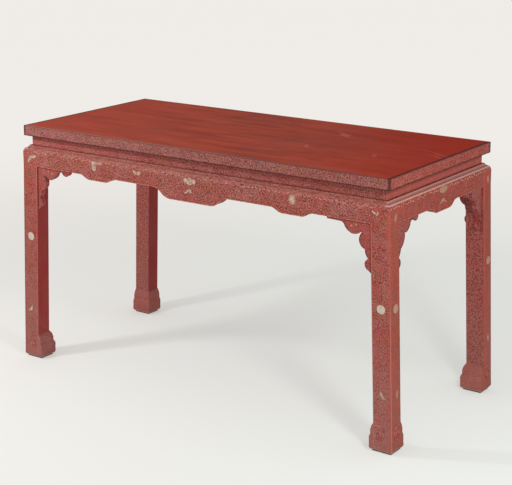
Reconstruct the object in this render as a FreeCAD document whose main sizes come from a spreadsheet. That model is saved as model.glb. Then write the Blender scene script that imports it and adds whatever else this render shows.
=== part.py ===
import FreeCAD, Part

import math
import os

import Sketcher

# The table stands on the floor with its origin on the floor under its centre.
# X runs along its length, Y from the front to the back and Z up. Lengths are in millimetres.
doc = FreeCAD.newDocument("lacquer_table")

# Driving dimensions
DIMENSIONS = [
    ("table_length", 1460, "length of the top"),
    ("table_width", 655, "width of the top, front to back"),
    ("table_height", 850, "floor to the top's upper face"),
    ("rail_width", 74, "width of the top's frame rails"),
    ("rail_thickness", 36, "height of the rails, the visible rim"),
    ("arris_radius", 1.5, "softened outer edges of the rim"),
    ("rail_tenon_length", 44, "tenon of a short rail into a long rail"),
    ("rail_tenon_thickness", 8, "thickness of that tenon"),
    ("rail_tenon_width", 34, "width of that tenon"),
    ("rail_tenon_margin", 10, "tenon outside the rail's inner edge"),
    ("panel_thickness", 13, "floating panel inside the rails"),
    ("tongue_length", 8, "tongue of the panel into the rails"),
    ("tongue_thickness", 6, "thickness of that tongue"),
    ("batten_width", 44, "cross battens under the panel"),
    ("batten_depth", 20, "how far a batten hangs under the panel"),
    ("batten_neck", 26, "narrow part of the batten's dovetail"),
    ("dovetail_height", 4, "how far the dovetail enters the panel"),
    ("dovetail_flare", 4, "how much the dovetail widens on each side"),
    ("batten_tenon_length", 18, "tenon of a batten into a long rail"),
    ("batten_tenon_height", 8, "height of that tenon"),
    ("batten_tenon_width", 26, "width of that tenon"),
    ("batten_spacing", 330, "distance between battens"),
    ("waist_setback", 20, "waist behind the edge of the top"),
    ("waist_height", 34, "height of the waist strips"),
    ("waist_thickness", 12, "thickness of the waist strips"),
    ("apron_proud", 4, "apron in front of the edge of the top"),
    ("apron_thickness", 40, "thickness of the aprons"),
    ("apron_height", 69, "waist's foot to the level part of the lower edge"),
    ("shoulder_drop", 26, "waist's foot to where the apron's face is upright"),
    ("shoulder_turn_drop", 12, "waist's foot to the upper end of the rounded turn"),
    ("shoulder_turn_run", 4, "how far in that turn reaches"),
    ("shoulder_run", 17, "how far in the slope reaches"),
    ("shoulder_step", 2.5, "small step at the top of the slope"),
    ("apron_tenon_length", 18, "stub tenon of an apron into a leg"),
    ("apron_tenon_thickness", 12, "thickness of that tenon"),
    ("apron_tenon_height", 36, "height of that tenon"),
    ("apron_tenon_setback", 16, "tenon behind the apron's face"),
    ("long_pendant_drop", 32, "centre pendant of the long aprons"),
    ("long_pendant_low", 84, "half width of its lower edge"),
    ("long_pendant_high", 150, "half width where it leaves the level edge"),
    ("side_pendant_drop", 15, "two smaller pendants of the long aprons"),
    ("side_pendant_gap", 53, "level edge between them and the brackets"),
    ("side_pendant_width", 76, "width of their lower edge"),
    ("side_pendant_run", 36, "run of the slope at both their ends"),
    ("short_pendant_drop", 20, "centre pendant of the short aprons"),
    ("short_pendant_low", 41, "half width of its lower edge"),
    ("short_pendant_high", 88, "half width where it leaves the level edge"),
    ("leg_width_x", 64, "width of the legs along the length"),
    ("leg_width_y", 55, "their width from the front to the back"),
    ("leg_splay_x", 28, "how far the feet stand out along the length"),
    ("leg_splay_y", 5, "how far the feet stand out along the width"),
    ("post_tenon_height", 11, "leg's top tenon into the rails"),
    ("hoof_height", 92, "where the foot begins to swell"),
    ("hoof_scroll_height", 56, "notch between the foot's two swellings"),
    ("hoof_widest_height", 36, "where the foot is widest"),
    ("hoof_toe_height", 18, "where the foot begins to draw in"),
    ("hoof_scroll_swell", 10.5, "swelling at the notch"),
    ("hoof_swell", 16, "swelling at the widest place"),
    ("hoof_draw_in", 6, "how far the toe draws in at the floor"),
    ("pad_thickness", 4, "thin pad under each foot"),
    ("pad_margin", 1.5, "pad inside the edge of the foot"),
    ("bracket_thickness", 16, "brackets between aprons and legs"),
    ("bracket_setback", 3, "bracket behind the apron's face"),
    ("bracket_drop", 154, "height of a bracket along the leg"),
    ("long_bracket_reach", 150.5, "width of a bracket under a long apron"),
    ("short_bracket_reach", 124, "width of a bracket under a short apron"),
    ("peg_diameter", 6, "pegs that hold the brackets"),
    ("peg_length", 24, "length of those pegs"),
    ("key_width", 22, "dovetail keys that tie apron and waist to the rails"),
    ("key_flare", 4, "how much a key widens towards its deep side"),
    ("key_depth", 10, "depth of a key in the apron's back"),
    ("key_foot", 10, "key's lower end above the apron's level edge"),
    ("key_tip", 9, "how far a key enters a rail"),
    ("key_spacing", 300, "distance of the long aprons' keys from the middle"),
    ("inlay_depth", 1.2, "thickness of the shell plates, let in flush"),
    ("roundel_size", 28, "round plate in the middle of a leg"),
    ("roundel_height", 454, "its centre above the floor"),
    ("leaf_length", 27, "leaf plates on the sides of a leg"),
    ("leaf_width", 17, "their width"),
    ("leaf_height", 186, "centre of the lower plates above the floor"),
    ("top_leaf_rise", 18, "centre of the top leaf above the apron's level edge"),
    ("curl_width", 22, "curled plate low on the front of a leg"),
    ("curl_height", 27, "its height"),
    ("curl_shift", 6, "how far outwards of the leg's middle it lies"),
    ("front_leg_shift", 5, "side plates of the front legs inwards of the leg's middle"),
    ("back_leg_shift", 8, "side plates of the back legs outwards of it"),
    ("swallow_width", 25, "forked plate at the top of the right legs"),
    ("swallow_height", 16, "its height"),
    ("scroll_width", 42, "curved plate at the top of the left legs"),
    ("scroll_height", 34, "its height"),
    ("butterfly_width", 31, "winged plate on a long apron"),
    ("butterfly_height", 21, "its height"),
    ("banner_width", 44, "banner plate on a long apron"),
    ("banner_height", 31, "its height"),
    ("plaque_width", 24, "plaque on a long apron"),
    ("plaque_height", 29, "its height"),
    ("cloud_width", 56, "cloud plate in the middle of an apron"),
    ("cloud_height", 23, "its height"),
    ("scallop_width", 48, "winged plate under the cloud"),
    ("scallop_height", 17, "its height"),
    ("plate_rise", 32, "middle of the other apron plates above the level edge"),
    ("plate_margin", 3, "gap from a plate to the end of its piece"),
    ("overrun", 30, "how far cutting shapes run past a piece"),
]

sheet = doc.addObject("Spreadsheet::Sheet", "Sizes")
for row, (alias, value, note) in enumerate(DIMENSIONS, start=1):
    sheet.set(f"A{row}", alias)
    sheet.set(f"B{row}", str(value))
    sheet.set(f"C{row}", note)
    sheet.setAlias(f"B{row}", alias)
doc.recompute()


class Size:
    """A number together with the expression that gives it, so that sums of sizes stay bound to the sheet."""

    def __init__(self, value, text):
        self.value = float(value)
        self.text = text

    def join(self, other, sign, value):
        return Size(value, f"({self.text} {sign} {as_size(other).text})")

    def __add__(self, other):
        return self.join(other, "+", self.value + as_size(other).value)

    def __sub__(self, other):
        return self.join(other, "-", self.value - as_size(other).value)

    def __mul__(self, other):
        return self.join(other, "*", self.value * as_size(other).value)

    def __truediv__(self, other):
        return self.join(other, "/", self.value / as_size(other).value)

    def __radd__(self, other):
        return as_size(other) + self

    def __rsub__(self, other):
        return as_size(other) - self

    def __rmul__(self, other):
        return as_size(other) * self

    def __neg__(self):
        return Size(-self.value, f"(-1 * {self.text})")

    def root(self):
        return Size(math.sqrt(self.value), f"sqrt({self.text})")


def as_size(thing):
    return thing if isinstance(thing, Size) else Size(thing, repr(thing))


class Named:
    """Gives each of the sheet's aliases as a Size."""

    def __getattr__(self, alias):
        return Size(sheet.get(alias), f"Sizes.{alias}")


S = Named()
ZERO = as_size(0)

# Shares: bends of arcs (twice the sagitta over the chord) and places along an outline
QUARTER_TURN_SHARE = 0.4142
SHOULDER_TURN_SHARE = 0.17
PENDANT_BEND_SHARE = 0.18
SIDE_PENDANT_BEND_SHARE = 0.1
SLOPE_MIDDLE_SHARE = 0.5
TOE_BEND_SHARE = 0.35
SCROLL_BEND_SHARE = 0.22
PEG_PLACE_SHARE = 0.4
OUTER_PLATE_SHARE = 0.588
BUTTERFLY_PLACE_SHARE = 0.327
LONG_CLOUD_SHARE = 0.52
SHORT_CLOUD_SHARE = 0.66

# A bracket's scrolls from the leg's end to the apron's end, as shares of its reach and drop
LONG_LEG_SIDE_SHARES = [
    (0.03, 0.94, 0.7),
    (0.055, 0.735),
    (0.045, 0.71, 0.15),
    (0.11, 0.58),
    (0.12, 0.53, 0.52),
    (0.218, 0.25),
    (0.185, 0.19),
]
SHORT_LEG_SIDE_SHARES = [
    (0.04, 0.94, 0.75),
    (0.075, 0.735),
    (0.065, 0.71, 0.1),
    (0.14, 0.6),
    (0.165, 0.54, 0.3),
    (0.33, 0.3, 0.35),
    (0.285, 0.255),
    (0.18, 0.19),
]
BIG_SCROLL_SHARES = [
    (0.24, 0.212, 0.22),
    (0.43, 0.258, 0.14),
    (0.575, 0.155),
]
END_SCROLL_SHARES = [
    (0.605, 0.095, -0.2),
    (0.69, 0.045, -0.2),
    (0.77, 0.055, 0.8),
    (0.975, 0.03),
]
WORN_END_SHARES = [
    (0.605, 0.095, -0.2),
    (0.71, 0.05),
    (1, 0.045),
]
LONG_BRACKET_SHARES = LONG_LEG_SIDE_SHARES + BIG_SCROLL_SHARES + END_SCROLL_SHARES
WORN_BRACKET_SHARES = LONG_LEG_SIDE_SHARES + BIG_SCROLL_SHARES + WORN_END_SHARES
SHORT_BRACKET_SHARES = SHORT_LEG_SIDE_SHARES + BIG_SCROLL_SHARES + END_SCROLL_SHARES

# Outlines of the shell plates, as shares of their width and height about their centre
ROUNDEL_SHARES = [(0.5, 0, 0.4142), (0, 0.5, 0.4142), (-0.5, 0, 0.4142), (0, -0.5, 0.4142)]
LEAF_SHARES = [(0, -0.5, 0.5), (0.2, 0.5, 0.35)]
CURL_SHARES = [(-0.45, 0.5, 0.75), (0.5, -0.35, -0.15)]
SWALLOW_SHARES = [(0.22, -0.5), (0.5, 0.2), (0.36, 0.5), (0.14, 0.02), (-0.3, 0.5), (-0.5, 0.3)]
SCROLL_SHARES = [(0.5, 0.34, 0.5), (-0.5, -0.5), (-0.26, -0.44, -0.42), (0.36, 0.04)]
BUTTERFLY_SHARES = [
    (0.05, -0.24, 0.6),
    (0.4, -0.14, 0.4),
    (0.5, 0.44, 0.2),
    (0.06, 0.1),
    (-0.06, 0.1, 0.2),
    (-0.5, 0.44, 0.4),
    (-0.4, -0.14, 0.6),
    (-0.05, -0.24),
]
BANNER_SHARES = [
    (-0.48, -0.44, 0.3),
    (-0.12, -0.5),
    (-0.08, 0.1, -0.4),
    (0.04, 0.2),
    (0.5, 0.24, 0.4),
    (0.46, 0.5),
    (-0.5, 0.46),
]
CLOUD_SHARES = [
    (-0.44, 0.05, 0.6),
    (-0.2, -0.3, 0.5),
    (0.2, -0.3, 0.6),
    (0.44, 0.05, 0.7),
    (0.2, 0.24, 0.6),
    (-0.2, 0.24, 0.7),
]
SCALLOP_SHARES = [
    (-0.5, -0.08, 0.4),
    (-0.26, -0.3, -0.4),
    (0.06, -0.2, -0.4),
    (0.4, -0.5, 0.4),
    (0.5, -0.3, -0.2),
    (0.14, 0.26, 0.5),
    (-0.18, 0.4, -0.2),
]
PLAQUE_SHARES = [
    (-0.5, -0.32, -0.4),
    (-0.34, -0.5),
    (0.34, -0.5, -0.4),
    (0.5, -0.32),
    (0.5, 0.32, -0.4),
    (0.34, 0.5),
    (-0.34, 0.5, -0.4),
    (-0.5, 0.32),
]

# Levels and planes that several pieces share
half_length = S.table_length / 2
half_width = S.table_width / 2
rail_foot = S.table_height - S.rail_thickness
panel_foot = S.table_height - S.panel_thickness
waist_foot = rail_foot - S.waist_height
apron_edge = waist_foot - S.apron_height
face_x = half_length + S.apron_proud
face_y = half_width + S.apron_proud
waist_inset = S.apron_proud + S.waist_setback
post_inset = waist_inset + S.waist_thickness
leg_inner_x = face_x - S.leg_width_x
leg_inner_y = face_y - S.leg_width_y


# Helpers for sketches, pads and booleans
def bind(thing, **expressions):
    for name, size in expressions.items():
        thing.setExpression(name.replace("__", "."), as_size(size).text)


def arc_between(start, end, bulge):
    """The arc whose sagitta is bulge times half its chord; a positive bulge lies to the right of the way."""
    chord = end - start
    radius = chord.Length * (1 + bulge * bulge) / (4 * abs(bulge))
    left = FreeCAD.Vector(-chord.y, chord.x, 0).normalize()
    centre = (start + end) * 0.5 + left * (chord.Length / 2 * (1 - bulge * bulge) / (2 * bulge))
    first, last = (start, end) if bulge > 0 else (end, start)
    begin = math.atan2(first.y - centre.y, first.x - centre.x)
    finish = math.atan2(last.y - centre.y, last.x - centre.x)
    if finish < begin:
        finish += 2 * math.pi
    return Part.ArcOfCircle(Part.Circle(centre, FreeCAD.Vector(0, 0, 1), radius), begin, finish)


def arc_radius(here, there, bulge):
    across = there[0] - here[0]
    up = there[1] - here[1]
    chord = (across * across + up * up).root()
    return chord * ((1 + bulge * bulge) / (4 * abs(bulge)))


def sketch_on(body, role, corners, offset=ZERO):
    """A closed sketch. A corner is (across, up) or, where an arc starts at it, (across, up, bulge)."""
    sketch = body.newObject("Sketcher::SketchObject", body.Name + "Sketch")
    plane = [feature for feature in body.Origin.OriginFeatures if feature.Role == role]
    sketch.AttachmentSupport = [(plane[0], "")]
    sketch.MapMode = "FlatFace"
    bind(sketch, AttachmentOffset__Base__z=offset)
    corners = [tuple(as_size(size) for size in corner[:2]) + tuple(corner[2:]) for corner in corners]
    points = [FreeCAD.Vector(corner[0].value, corner[1].value, 0) for corner in corners]
    ends = []
    for index, corner in enumerate(corners):
        start, end = points[index], points[(index + 1) % len(points)]
        if len(corner) == 2:
            sketch.addGeometry(Part.LineSegment(start, end))
            ends.append((1, 2))
        else:
            sketch.addGeometry(arc_between(start, end, corner[2]))
            ends.append((1, 2) if corner[2] > 0 else (2, 1))
    for index, corner in enumerate(corners):
        after = (index + 1) % len(corners)
        sketch.addConstraint(Sketcher.Constraint("Coincident", index, ends[index][1], after, ends[after][0]))
        for axis, size in (("DistanceX", corner[0]), ("DistanceY", corner[1])):
            number = sketch.addConstraint(Sketcher.Constraint(axis, -1, 1, index, ends[index][0], size.value))
            sketch.setExpression(f"Constraints[{number}]", size.text)
        if len(corner) == 3:
            radius = arc_radius(corner, corners[after], corner[2])
            number = sketch.addConstraint(Sketcher.Constraint("Radius", index, radius.value))
            sketch.setExpression(f"Constraints[{number}]", radius.text)
    return sketch


def new_body(label):
    body = doc.addObject("PartDesign::Body", label)
    body.Label = label
    return body


def pad(body, sketch, length, both_ways=False, reverse=False):
    feature = body.newObject("PartDesign::Pad", body.Name + "Pad")
    feature.Profile = sketch
    feature.SideType = "Symmetric" if both_ways else "One side"
    feature.Reversed = reverse
    bind(feature, Length=length)
    return feature


def padded(label, role, corners, length, offset=ZERO, both_ways=False, reverse=False):
    """A body made of one pad. XZ pads run towards the front, YZ pads towards +X and XY pads up."""
    body = new_body(label)
    pad(body, sketch_on(body, role, corners, offset), length, both_ways, reverse)
    return body


def block(label, low, high):
    """A box between two corners."""
    box = doc.addObject("Part::Box", label)
    for name, axis, index in (("Length", "x", 0), ("Width", "y", 1), ("Height", "z", 2)):
        box.setExpression(name, (high[index] - low[index]).text)
        box.setExpression(f"Placement.Base.{axis}", as_size(low[index]).text)
    return box


def joined(kind, label, pieces):
    result = doc.addObject(kind, label)
    if kind == "Part::Compound":
        result.Links = pieces
    else:
        result.Shapes = pieces
    result.Label = label
    return result


def cut(label, base, *tools):
    tool = tools[0] if len(tools) == 1 else joined("Part::Compound", label + "_tools", list(tools))
    result = doc.addObject("Part::Cut", label)
    result.Base = base
    result.Tool = tool
    result.Label = label
    return result


def mirrored(label, source, axis):
    result = doc.addObject("Part::Mirroring", label)
    result.Source = source
    result.Normal = axis
    result.Label = label
    return result


ACROSS_X = FreeCAD.Vector(1, 0, 0)
ACROSS_Y = FreeCAD.Vector(0, 1, 0)
nodes = {}


# Floating panel of the top, with a tongue on all four edges
def panel_blank():
    body = new_body("panel_blank")
    inner_x = half_length - S.rail_width
    inner_y = half_width - S.rail_width
    for reach, thickness in ((ZERO, S.panel_thickness), (S.tongue_length, S.tongue_thickness)):
        x = inner_x + reach
        y = inner_y + reach
        corners = [(-x, -y), (x, -y), (x, y), (-x, y)]
        pad(body, sketch_on(body, "XY_Plane", corners, panel_foot), thickness)
    return body


# Cross battens, dovetailed into the panel and tenoned into the long rails
def batten(label, centre):
    inner_y = half_width - S.rail_width
    low = panel_foot - S.batten_depth
    half = S.batten_width / 2
    neck = S.batten_neck / 2
    wide = neck + S.dovetail_flare
    corners = [
        (centre - half, low),
        (centre + half, low),
        (centre + half, panel_foot),
        (centre + neck, panel_foot),
        (centre + wide, panel_foot + S.dovetail_height),
        (centre - wide, panel_foot + S.dovetail_height),
        (centre - neck, panel_foot),
        (centre - half, panel_foot),
    ]
    bar = padded(label + "_bar", "XZ_Plane", corners, inner_y * 2, both_ways=True)
    tenon_reach = inner_y + S.batten_tenon_length
    tenon_low = low + (S.batten_depth - S.batten_tenon_height) / 2
    tenon = block(
        label + "_tenon",
        (centre - S.batten_tenon_width / 2, -tenon_reach, tenon_low),
        (centre + S.batten_tenon_width / 2, tenon_reach, tenon_low + S.batten_tenon_height),
    )
    return joined("Part::MultiFuse", label, [bar, tenon])


# Rails of the top: a rim section along the rail, mitred at both ends
def rail_blank(label, role, reach, far):
    """The rail whose outer face is at -reach across and whose mitres end at -far and far along."""
    soft = S.arris_radius
    outer = -reach
    inner = outer + S.rail_width
    near = far - S.rail_width
    section = [
        (outer, rail_foot + soft, QUARTER_TURN_SHARE),
        (outer + soft, rail_foot),
        (inner, rail_foot),
        (inner, S.table_height),
        (outer + soft, S.table_height, QUARTER_TURN_SHARE),
        (outer, S.table_height - soft),
    ]
    if role == "YZ_Plane":
        plan = [(-far, outer), (far, outer), (near, inner), (-near, inner)]
    else:
        plan = [(outer, far), (outer, -far), (inner, -near), (inner, near)]
    bar = padded(label + "_bar", role, section, far * 2 + S.overrun, both_ways=True)
    mitres = padded(label + "_mitres", "XY_Plane", plan, S.table_height + S.overrun)
    return joined("Part::MultiCommon", label, [bar, mitres])


def side_rail_with_tenons():
    blank = rail_blank("left_rail_blank", "XZ_Plane", half_length, half_width)
    inner = -half_length + S.rail_width - S.rail_tenon_margin
    reach = half_width - S.rail_width + S.rail_tenon_length
    tenons = block(
        "left_rail_tenons",
        (inner - S.rail_tenon_width, -reach, panel_foot - S.rail_tenon_thickness),
        (inner, reach, panel_foot),
    )
    return joined("Part::MultiFuse", "left_rail_whole", [blank, tenons])


# Waist strips, mitred at the corners
def waist_strip(label, along_x):
    across = (half_width if along_x else half_length) - S.waist_setback
    far = (half_length if along_x else half_width) - S.waist_setback
    near = far - S.waist_thickness
    inner = across - S.waist_thickness
    if along_x:
        plan = [(-far, -across), (far, -across), (near, -inner), (-near, -inner)]
    else:
        plan = [(across, -far), (across, far), (inner, near), (inner, -near)]
    return padded(label, "XY_Plane", plan, S.waist_height, waist_foot)


# Outlines that legs, aprons and brackets share
def flipped(corners, sign):
    """The same corners, or their mirror image across the upright axis."""
    if sign > 0:
        return corners
    return [(-corner[0], corner[1]) + tuple(-bulge for bulge in corner[2:]) for corner in corners]


def shoulder(face):
    """Rounded turn, slope and small step, from the upright face up to the waist's foot."""
    return [
        (face, waist_foot - S.shoulder_drop, SHOULDER_TURN_SHARE),
        (face - S.shoulder_turn_run, waist_foot - S.shoulder_turn_drop),
        (face - S.shoulder_run, waist_foot - S.shoulder_step),
        (face - S.shoulder_run, waist_foot),
    ]


def slope(start, end, high, low, bend):
    """Two arcs that leave the level at start and meet it at end; the last corner is left to the caller."""
    middle = start + (end - start) * SLOPE_MIDDLE_SHARE
    level = high + (low - high) * SLOPE_MIDDLE_SHARE
    falls = 1 if high.value > low.value else -1
    return [(start, high, -falls * bend), (middle, level, falls * bend)]


# Aprons: a moulded section along the board, sawn to the profile of its lower edge
def long_apron_edge():
    side_low = apron_edge - S.side_pendant_drop
    low = apron_edge - S.long_pendant_drop
    run = S.side_pendant_run
    outer = leg_inner_x - S.long_bracket_reach - S.side_pendant_gap - run
    inner = outer - S.side_pendant_width
    corners = []
    corners += slope(-outer - run, -outer, apron_edge, side_low, SIDE_PENDANT_BEND_SHARE)
    corners += [(-outer, side_low)]
    corners += slope(-inner, -inner + run, side_low, apron_edge, SIDE_PENDANT_BEND_SHARE)
    corners += [(-inner + run, apron_edge)]
    corners += slope(-S.long_pendant_high, -S.long_pendant_low, apron_edge, low, PENDANT_BEND_SHARE)
    corners += [(-S.long_pendant_low, low)]
    corners += slope(S.long_pendant_low, S.long_pendant_high, low, apron_edge, PENDANT_BEND_SHARE)
    corners += [(S.long_pendant_high, apron_edge)]
    corners += slope(inner - run, inner, apron_edge, side_low, SIDE_PENDANT_BEND_SHARE)
    corners += [(inner, side_low)]
    corners += slope(outer, outer + run, side_low, apron_edge, SIDE_PENDANT_BEND_SHARE)
    corners += [(outer + run, apron_edge)]
    return corners


def short_apron_edge():
    low = apron_edge - S.short_pendant_drop
    high, level = S.short_pendant_high, S.short_pendant_low
    corners = []
    corners += slope(-high, -level, apron_edge, low, PENDANT_BEND_SHARE)
    corners += [(-level, low)]
    corners += slope(level, high, low, apron_edge, PENDANT_BEND_SHARE)
    corners += [(high, apron_edge)]
    return corners


def apron(label, along_x):
    face = face_y if along_x else face_x
    end = leg_inner_x if along_x else leg_inner_y
    drop = S.long_pendant_drop if along_x else S.short_pendant_drop
    back = face - S.apron_thickness
    low = apron_edge - drop - S.overrun
    top = waist_foot + S.overrun
    section = [(back, low), (face, low), *shoulder(face), (back, waist_foot)]
    edge = long_apron_edge() if along_x else short_apron_edge()
    elevation = [(-end, apron_edge), *edge, (end, apron_edge), (end, top), (-end, top)]
    through = S.apron_thickness + S.overrun * 2
    tenon_reach = end + S.apron_tenon_length
    tenon_face = face - S.apron_tenon_setback
    tenon_back = tenon_face - S.apron_tenon_thickness
    tenon_low = apron_edge + (waist_foot - apron_edge - S.apron_tenon_height) / 2
    tenon_top = tenon_low + S.apron_tenon_height
    if along_x:
        board = padded(label + "_board", "YZ_Plane", flipped(section, -1), end * 2, both_ways=True)
        profile = padded(label + "_profile", "XZ_Plane", elevation, through, back - S.overrun)
        low_corner = (-tenon_reach, -tenon_face, tenon_low)
        high_corner = (tenon_reach, -tenon_back, tenon_top)
    else:
        board = padded(label + "_board", "XZ_Plane", section, end * 2, both_ways=True)
        profile = padded(label + "_profile", "YZ_Plane", elevation, through, back - S.overrun)
        low_corner = (tenon_back, -tenon_reach, tenon_low)
        high_corner = (tenon_face, tenon_reach, tenon_top)
    tenons = block(label + "_tenons", low_corner, high_corner)
    sawn = joined("Part::MultiCommon", label + "_sawn", [board, profile])
    return joined("Part::MultiFuse", label + "_whole", [sawn, tenons]), tenons


# Legs: the same outline sawn from the front and from the side, down to a swelling foot
def leg_outline(face, splay, width):
    def outer(height):
        return face + splay * (apron_edge - height) / apron_edge

    def inner(height, swell=ZERO):
        return outer(height) - width - swell

    top = rail_foot + S.post_tenon_height
    floor = S.pad_thickness
    return [
        (outer(floor) - S.hoof_draw_in, floor, TOE_BEND_SHARE),
        (outer(S.hoof_toe_height), S.hoof_toe_height),
        (face, apron_edge),
        *shoulder(face),
        (face - post_inset, waist_foot),
        (face - post_inset, top),
        (face - width, top),
        (face - width, apron_edge),
        (inner(S.hoof_height), S.hoof_height, SCROLL_BEND_SHARE),
        (inner(S.hoof_scroll_height, S.hoof_scroll_swell), S.hoof_scroll_height, SCROLL_BEND_SHARE),
        (inner(S.hoof_widest_height, S.hoof_swell), S.hoof_widest_height),
        (inner(S.hoof_toe_height, S.hoof_swell), S.hoof_toe_height, TOE_BEND_SHARE),
        (inner(floor, S.hoof_swell) + S.hoof_draw_in, floor),
    ]


def leg_blank():
    beyond_x = S.leg_width_x + S.hoof_swell + S.overrun
    beyond_y = S.leg_width_y + S.hoof_swell + S.overrun
    front = padded(
        "leg_front_sawn",
        "XZ_Plane",
        leg_outline(face_x, S.leg_splay_x, S.leg_width_x),
        beyond_y + S.leg_splay_y + S.overrun,
        face_y - beyond_y,
    )
    side = padded(
        "leg_side_sawn",
        "YZ_Plane",
        flipped(leg_outline(face_y, S.leg_splay_y, S.leg_width_y), -1),
        beyond_x + S.leg_splay_x + S.overrun,
        face_x - beyond_x,
    )
    return joined("Part::MultiCommon", "leg_blank", [front, side])


# Brackets: scrolled corner pieces, their outline given as shares of reach and drop
def bracket_outline(inner, splay, reach, shares):
    """For the leg at -inner: down the leg, back along the scrolls, then along the apron's edge."""
    slant = splay * S.bracket_drop / apron_edge
    corners = [(-inner, apron_edge), (-inner - slant, apron_edge - S.bracket_drop)]
    for across, down, *bulge in shares:
        corners.append((-inner + reach * across, apron_edge - S.bracket_drop * down, *bulge))
    corners.append((-inner + reach, apron_edge))
    return corners


def bracket(label, along_x, sign, shares):
    face = face_y if along_x else face_x
    inner = leg_inner_x if along_x else leg_inner_y
    splay = S.leg_splay_x if along_x else S.leg_splay_y
    reach = S.long_bracket_reach if along_x else S.short_bracket_reach
    back = face - S.bracket_setback - S.bracket_thickness
    corners = flipped(bracket_outline(inner, splay, reach, shares), sign)
    return padded(label, "XZ_Plane" if along_x else "YZ_Plane", corners, S.bracket_thickness, back)


# Pegs: one up into the apron and one into the leg for each bracket
def peg(label, centre, direction):
    cylinder = doc.addObject("Part::Cylinder", label)
    bind(cylinder, Radius=S.peg_diameter / 2, Height=S.peg_length)
    turn = {
        "x": FreeCAD.Rotation(FreeCAD.Vector(0, 1, 0), 90),
        "y": FreeCAD.Rotation(FreeCAD.Vector(1, 0, 0), -90),
        "z": FreeCAD.Rotation(),
    }
    cylinder.Placement = FreeCAD.Placement(FreeCAD.Vector(), turn[direction])
    for axis, size in zip("xyz", centre):
        start = size - S.peg_length / 2 if axis == direction else size
        cylinder.setExpression(f"Placement.Base.{axis}", as_size(start).text)
    return cylinder


def bracket_pegs():
    pegs = []
    depth_y = face_y - S.bracket_setback - S.bracket_thickness / 2
    depth_x = face_x - S.bracket_setback - S.bracket_thickness / 2
    low = apron_edge - S.bracket_drop * PEG_PLACE_SHARE
    along_x = leg_inner_x - S.long_bracket_reach * PEG_PLACE_SHARE
    along_y = leg_inner_y - S.short_bracket_reach * PEG_PLACE_SHARE
    for sign_x in (-1, 1):
        for sign_y in (-1, 1):
            places = [
                ((along_x * sign_x, depth_y * sign_y, apron_edge), "z"),
                ((leg_inner_x * sign_x, depth_y * sign_y, low), "x"),
                ((depth_x * sign_x, along_y * sign_y, apron_edge), "z"),
                ((depth_x * sign_x, leg_inner_y * sign_y, low), "y"),
            ]
            for centre, direction in places:
                pegs.append(peg(f"peg_{len(pegs) + 1}", centre, direction))
    return joined("Part::Compound", "bracket_pegs", pegs)


# Dovetail keys in the backs of aprons and waist, with their tips in the rails
def dovetail_key(label, along_x, centre):
    back = (face_y if along_x else face_x) - S.apron_thickness
    deep = back + S.key_depth
    half = S.key_width / 2
    wide = half + S.key_flare
    foot = apron_edge + S.key_foot
    length = rail_foot + S.key_tip - foot
    plan = [(centre - wide, deep), (centre + wide, deep), (centre + half, back), (centre - half, back)]
    if along_x:
        plan = [(across, -depth) for across, depth in plan]
    else:
        plan = [(depth, across) for across, depth in plan]
    return padded(label, "XY_Plane", plan, length, foot)


# Pads under the feet
def foot_pad():
    def reach(face, splay, width):
        edge = face + splay * (apron_edge - S.pad_thickness) / apron_edge
        outer = edge - S.hoof_draw_in - S.pad_margin
        inner = edge - width - S.hoof_swell + S.hoof_draw_in + S.pad_margin
        return inner, outer

    inner_x, outer_x = reach(face_x, S.leg_splay_x, S.leg_width_x)
    inner_y, outer_y = reach(face_y, S.leg_splay_y, S.leg_width_y)
    return block("pad_front_right", (inner_x, -outer_y, ZERO), (outer_x, -inner_y, S.pad_thickness))


# Shell plates: pockets of their outlines as deep as the plates, below the face of an apron or a leg
def face_skin(label, along_x, splay):
    """From the floor of the pockets out past the face, for an apron or, with a splay, for a leg."""
    face = face_y if along_x else face_x
    floor = face - S.inlay_depth
    beyond = face + splay + S.overrun
    section = [
        (floor + splay, ZERO),
        (floor, apron_edge),
        *shoulder(floor),
        (beyond, waist_foot),
        (beyond, ZERO),
    ]
    if along_x:
        return padded(label, "YZ_Plane", flipped(section, -1), (half_length + S.overrun) * 2, both_ways=True)
    return padded(label, "XZ_Plane", section, (half_width + S.overrun) * 2, both_ways=True)


def pockets(label, along_x, skin, outlines):
    """Outlines are given by their centre, size and shares."""
    face = face_y if along_x else face_x
    prisms = []
    for centre, size, shares in outlines:
        corners = []
        for across, up, *bulge in shares:
            corners.append((centre[0] + size[0] * across, centre[1] + size[1] * up, *bulge))
        role = "XZ_Plane" if along_x else "YZ_Plane"
        name = f"{label}_prism_{len(prisms) + 1}"
        prisms.append(padded(name, role, corners, S.overrun * 2, face - S.overrun))
    shapes = joined("Part::Compound", label + "_prisms", prisms)
    return joined("Part::MultiCommon", label, [shapes, skin])


def plates(label, carrier, *filled):
    shapes = joined("Part::Compound", label + "_pockets", list(filled))
    return joined("Part::MultiCommon", label, [shapes, carrier])


plate_level = apron_edge + S.plate_rise


def front_middle(height):
    return face_x + S.leg_splay_x * (apron_edge - height) / apron_edge - S.leg_width_x / 2


def side_middle(height):
    return face_y + S.leg_splay_y * (apron_edge - height) / apron_edge - S.leg_width_y / 2


def leg_front_plates():
    """A roundel and a curled plate, for the legs at the right."""
    curl_place = (front_middle(S.leaf_height) + S.curl_shift, S.leaf_height)
    return [
        ((front_middle(S.roundel_height), S.roundel_height), (S.roundel_size, S.roundel_size), ROUNDEL_SHARES),
        (curl_place, (S.curl_width, S.curl_height), CURL_SHARES),
    ]


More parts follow.
